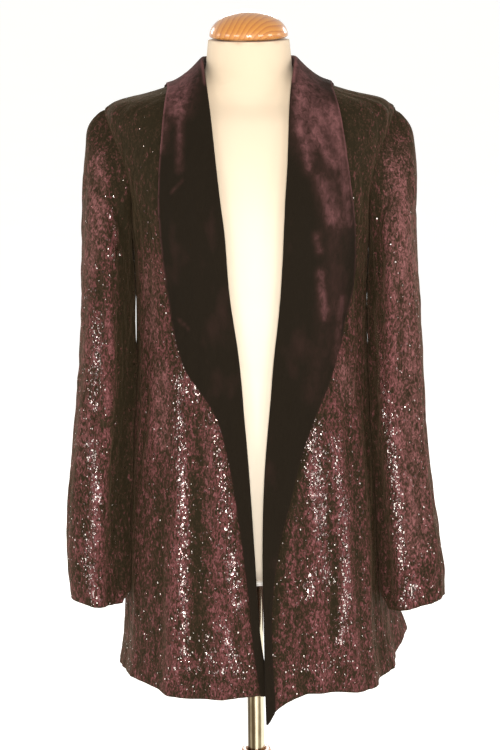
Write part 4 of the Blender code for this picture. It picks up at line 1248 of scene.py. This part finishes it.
def turn_cap(look):
    """The domed cap: widest just above its flat underside."""
    lowest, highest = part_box("neck_cap")
    radius = highest[0]
    base_z = lowest[2]
    widest_z = base_z + CAP_LIP
    bpy.ops.object.select_all(action="DESELECT")
    bpy.ops.mesh.primitive_uv_sphere_add(segments=72, ring_count=40, radius=radius,
                                         location=(0, 0, widest_z))
    cap = bpy.context.object
    cap.name = "turned_cap"
    bpy.ops.object.transform_apply(location=True)
    bpy.ops.object.mode_set(mode="EDIT")
    for upwards, reach in ((True, CAP_DOME), (False, CAP_ROLL)):
        choose_half(cap, widest_z, upwards)
        bpy.ops.transform.resize(value=(1, 1, reach / radius), center_override=(0, 0, widest_z))
    bpy.ops.mesh.select_all(action="SELECT")
    bpy.ops.mesh.bisect(plane_co=(0, 0, base_z), plane_no=(0, 0, 1), use_fill=True,
                        clear_inner=True)
    bpy.ops.object.mode_set(mode="OBJECT")
    bpy.ops.object.shade_smooth_by_angle(angle=CAP_SMOOTH_ANGLE)
    cap.data.materials.append(look)
    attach(cap, "root")
    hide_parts("neck_cap")


def choose_half(piece, level, upwards):
    """Select the points above or below a level, those on it left alone."""
    bpy.ops.mesh.select_all(action="DESELECT")
    bpy.ops.object.mode_set(mode="OBJECT")
    for vertex in piece.data.vertices:
        above = vertex.co.z - level
        vertex.select = above > MERGE_DISTANCE if upwards else above < -MERGE_DISTANCE
    bpy.ops.object.mode_set(mode="EDIT")
    bpy.ops.mesh.select_mode(type="VERT")


def dress_stand():
    """The form, its board, the cap, the pole, the column and the foot."""
    turn_cap(pine("pine_cap", (0.034, 0.0, 1.406), "Y", 0.0056))
    stand = {
        "form_torso": ("jersey_form", "cream_jersey", cream_jersey()),
        "stand_column": ("turned_column", "pine", pine("pine_column", (0.03, 0.02, 0.2), "Z", 0.0055)),
        "stand_foot": ("turned_foot", "pine", pine("pine_foot", (0.05, 0.3, -0.06), "Y", 0.0095)),
        "form_board": ("cut_board", "white_board", white_board()),
        "pole": ("drawn_tube", "chrome", chrome()),
    }
    for node, (name, slot, look) in stand.items():
        piece = refined_copy(node, name, STAND_LEVELS)
        piece.data.materials.append(look)
        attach(piece, "root")
        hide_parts(node)


def make_floor():
    """A large plain pale floor."""
    bpy.ops.object.select_all(action="DESELECT")
    bpy.ops.mesh.primitive_plane_add(size=FLOOR_SIZE, location=(0, 0, 0))
    floor = bpy.context.object
    floor.name = "floor"
    look = Look("pale_floor")
    colour = look.ramp(look.noise(look.place, 3.0), (0.3, (0.93, 0.93, 0.92)),
                       (0.7, (0.95, 0.95, 0.94)))
    look.set(Roughness=0.9, Specular_IOR_Level=0.1, Emission_Strength=0.26)
    look.shader.inputs["Emission Color"].default_value = (1.0, 1.0, 0.99, 1.0)
    floor.data.materials.append(look.finish(colour))


def add_softbox(name, place, aim, power, colour):
    """A square softbox that looks at a point."""
    data = bpy.data.lights.new(name, "AREA")
    data.size = SOFTBOX_SIZE
    data.energy = power
    data.color = colour
    light = bpy.data.objects.new(name, data)
    light.location = place
    light.rotation_euler = (Vector(aim) - Vector(place)).to_track_quat("-Z", "Y").to_euler()
    bpy.context.collection.objects.link(light)


def make_light():
    """A bright white room, a softbox just above the camera and a ring of weaker ones."""
    world = bpy.data.worlds.new("white_room")
    world.use_nodes = True
    background = world.node_tree.nodes["Background"]
    background.inputs["Color"].default_value = ROOM_COLOUR
    background.inputs["Strength"].default_value = ROOM_STRENGTH
    bpy.context.scene.world = world
    add_softbox("key", KEY_PLACE, KEY_AIM, KEY_POWER, KEY_COLOUR)
    for k, softbox in enumerate(RING):
        turn = math.radians(softbox.azimuth)
        place = (RING_DISTANCE * math.sin(turn), -RING_DISTANCE * math.cos(turn), softbox.height)
        add_softbox(f"softbox_{k}", place, RING_AIM, softbox.power, RING_COLOUR)


def make_camera():
    """The photograph's view."""
    data = bpy.data.cameras.new("camera")
    data.sensor_width = SENSOR_MM
    data.lens = FOCAL_LENGTH_PX / IMAGE_HEIGHT_PX * SENSOR_MM
    camera = bpy.data.objects.new("camera", data)
    camera.matrix_world = (Matrix.Translation(CAMERA_PLACE)
                           @ Matrix.Rotation(math.radians(90) - CAMERA_PITCH, 4, "X")
                           @ Matrix.Rotation(-CAMERA_ROLL, 4, "Z"))
    bpy.context.collection.objects.link(camera)
    bpy.context.scene.camera = camera


make_camera()
make_light()
make_floor()
burnout = glitter_burnout()
wrong_side = burnout_wrong_side()
panels = dress_panels(burnout, wrong_side)
dress_sleeves(burnout, wrong_side, panels)
dress_collar(collar_velvet(), wrong_side)
dress_stand()
bpy.context.scene.view_settings.view_transform = "Standard"
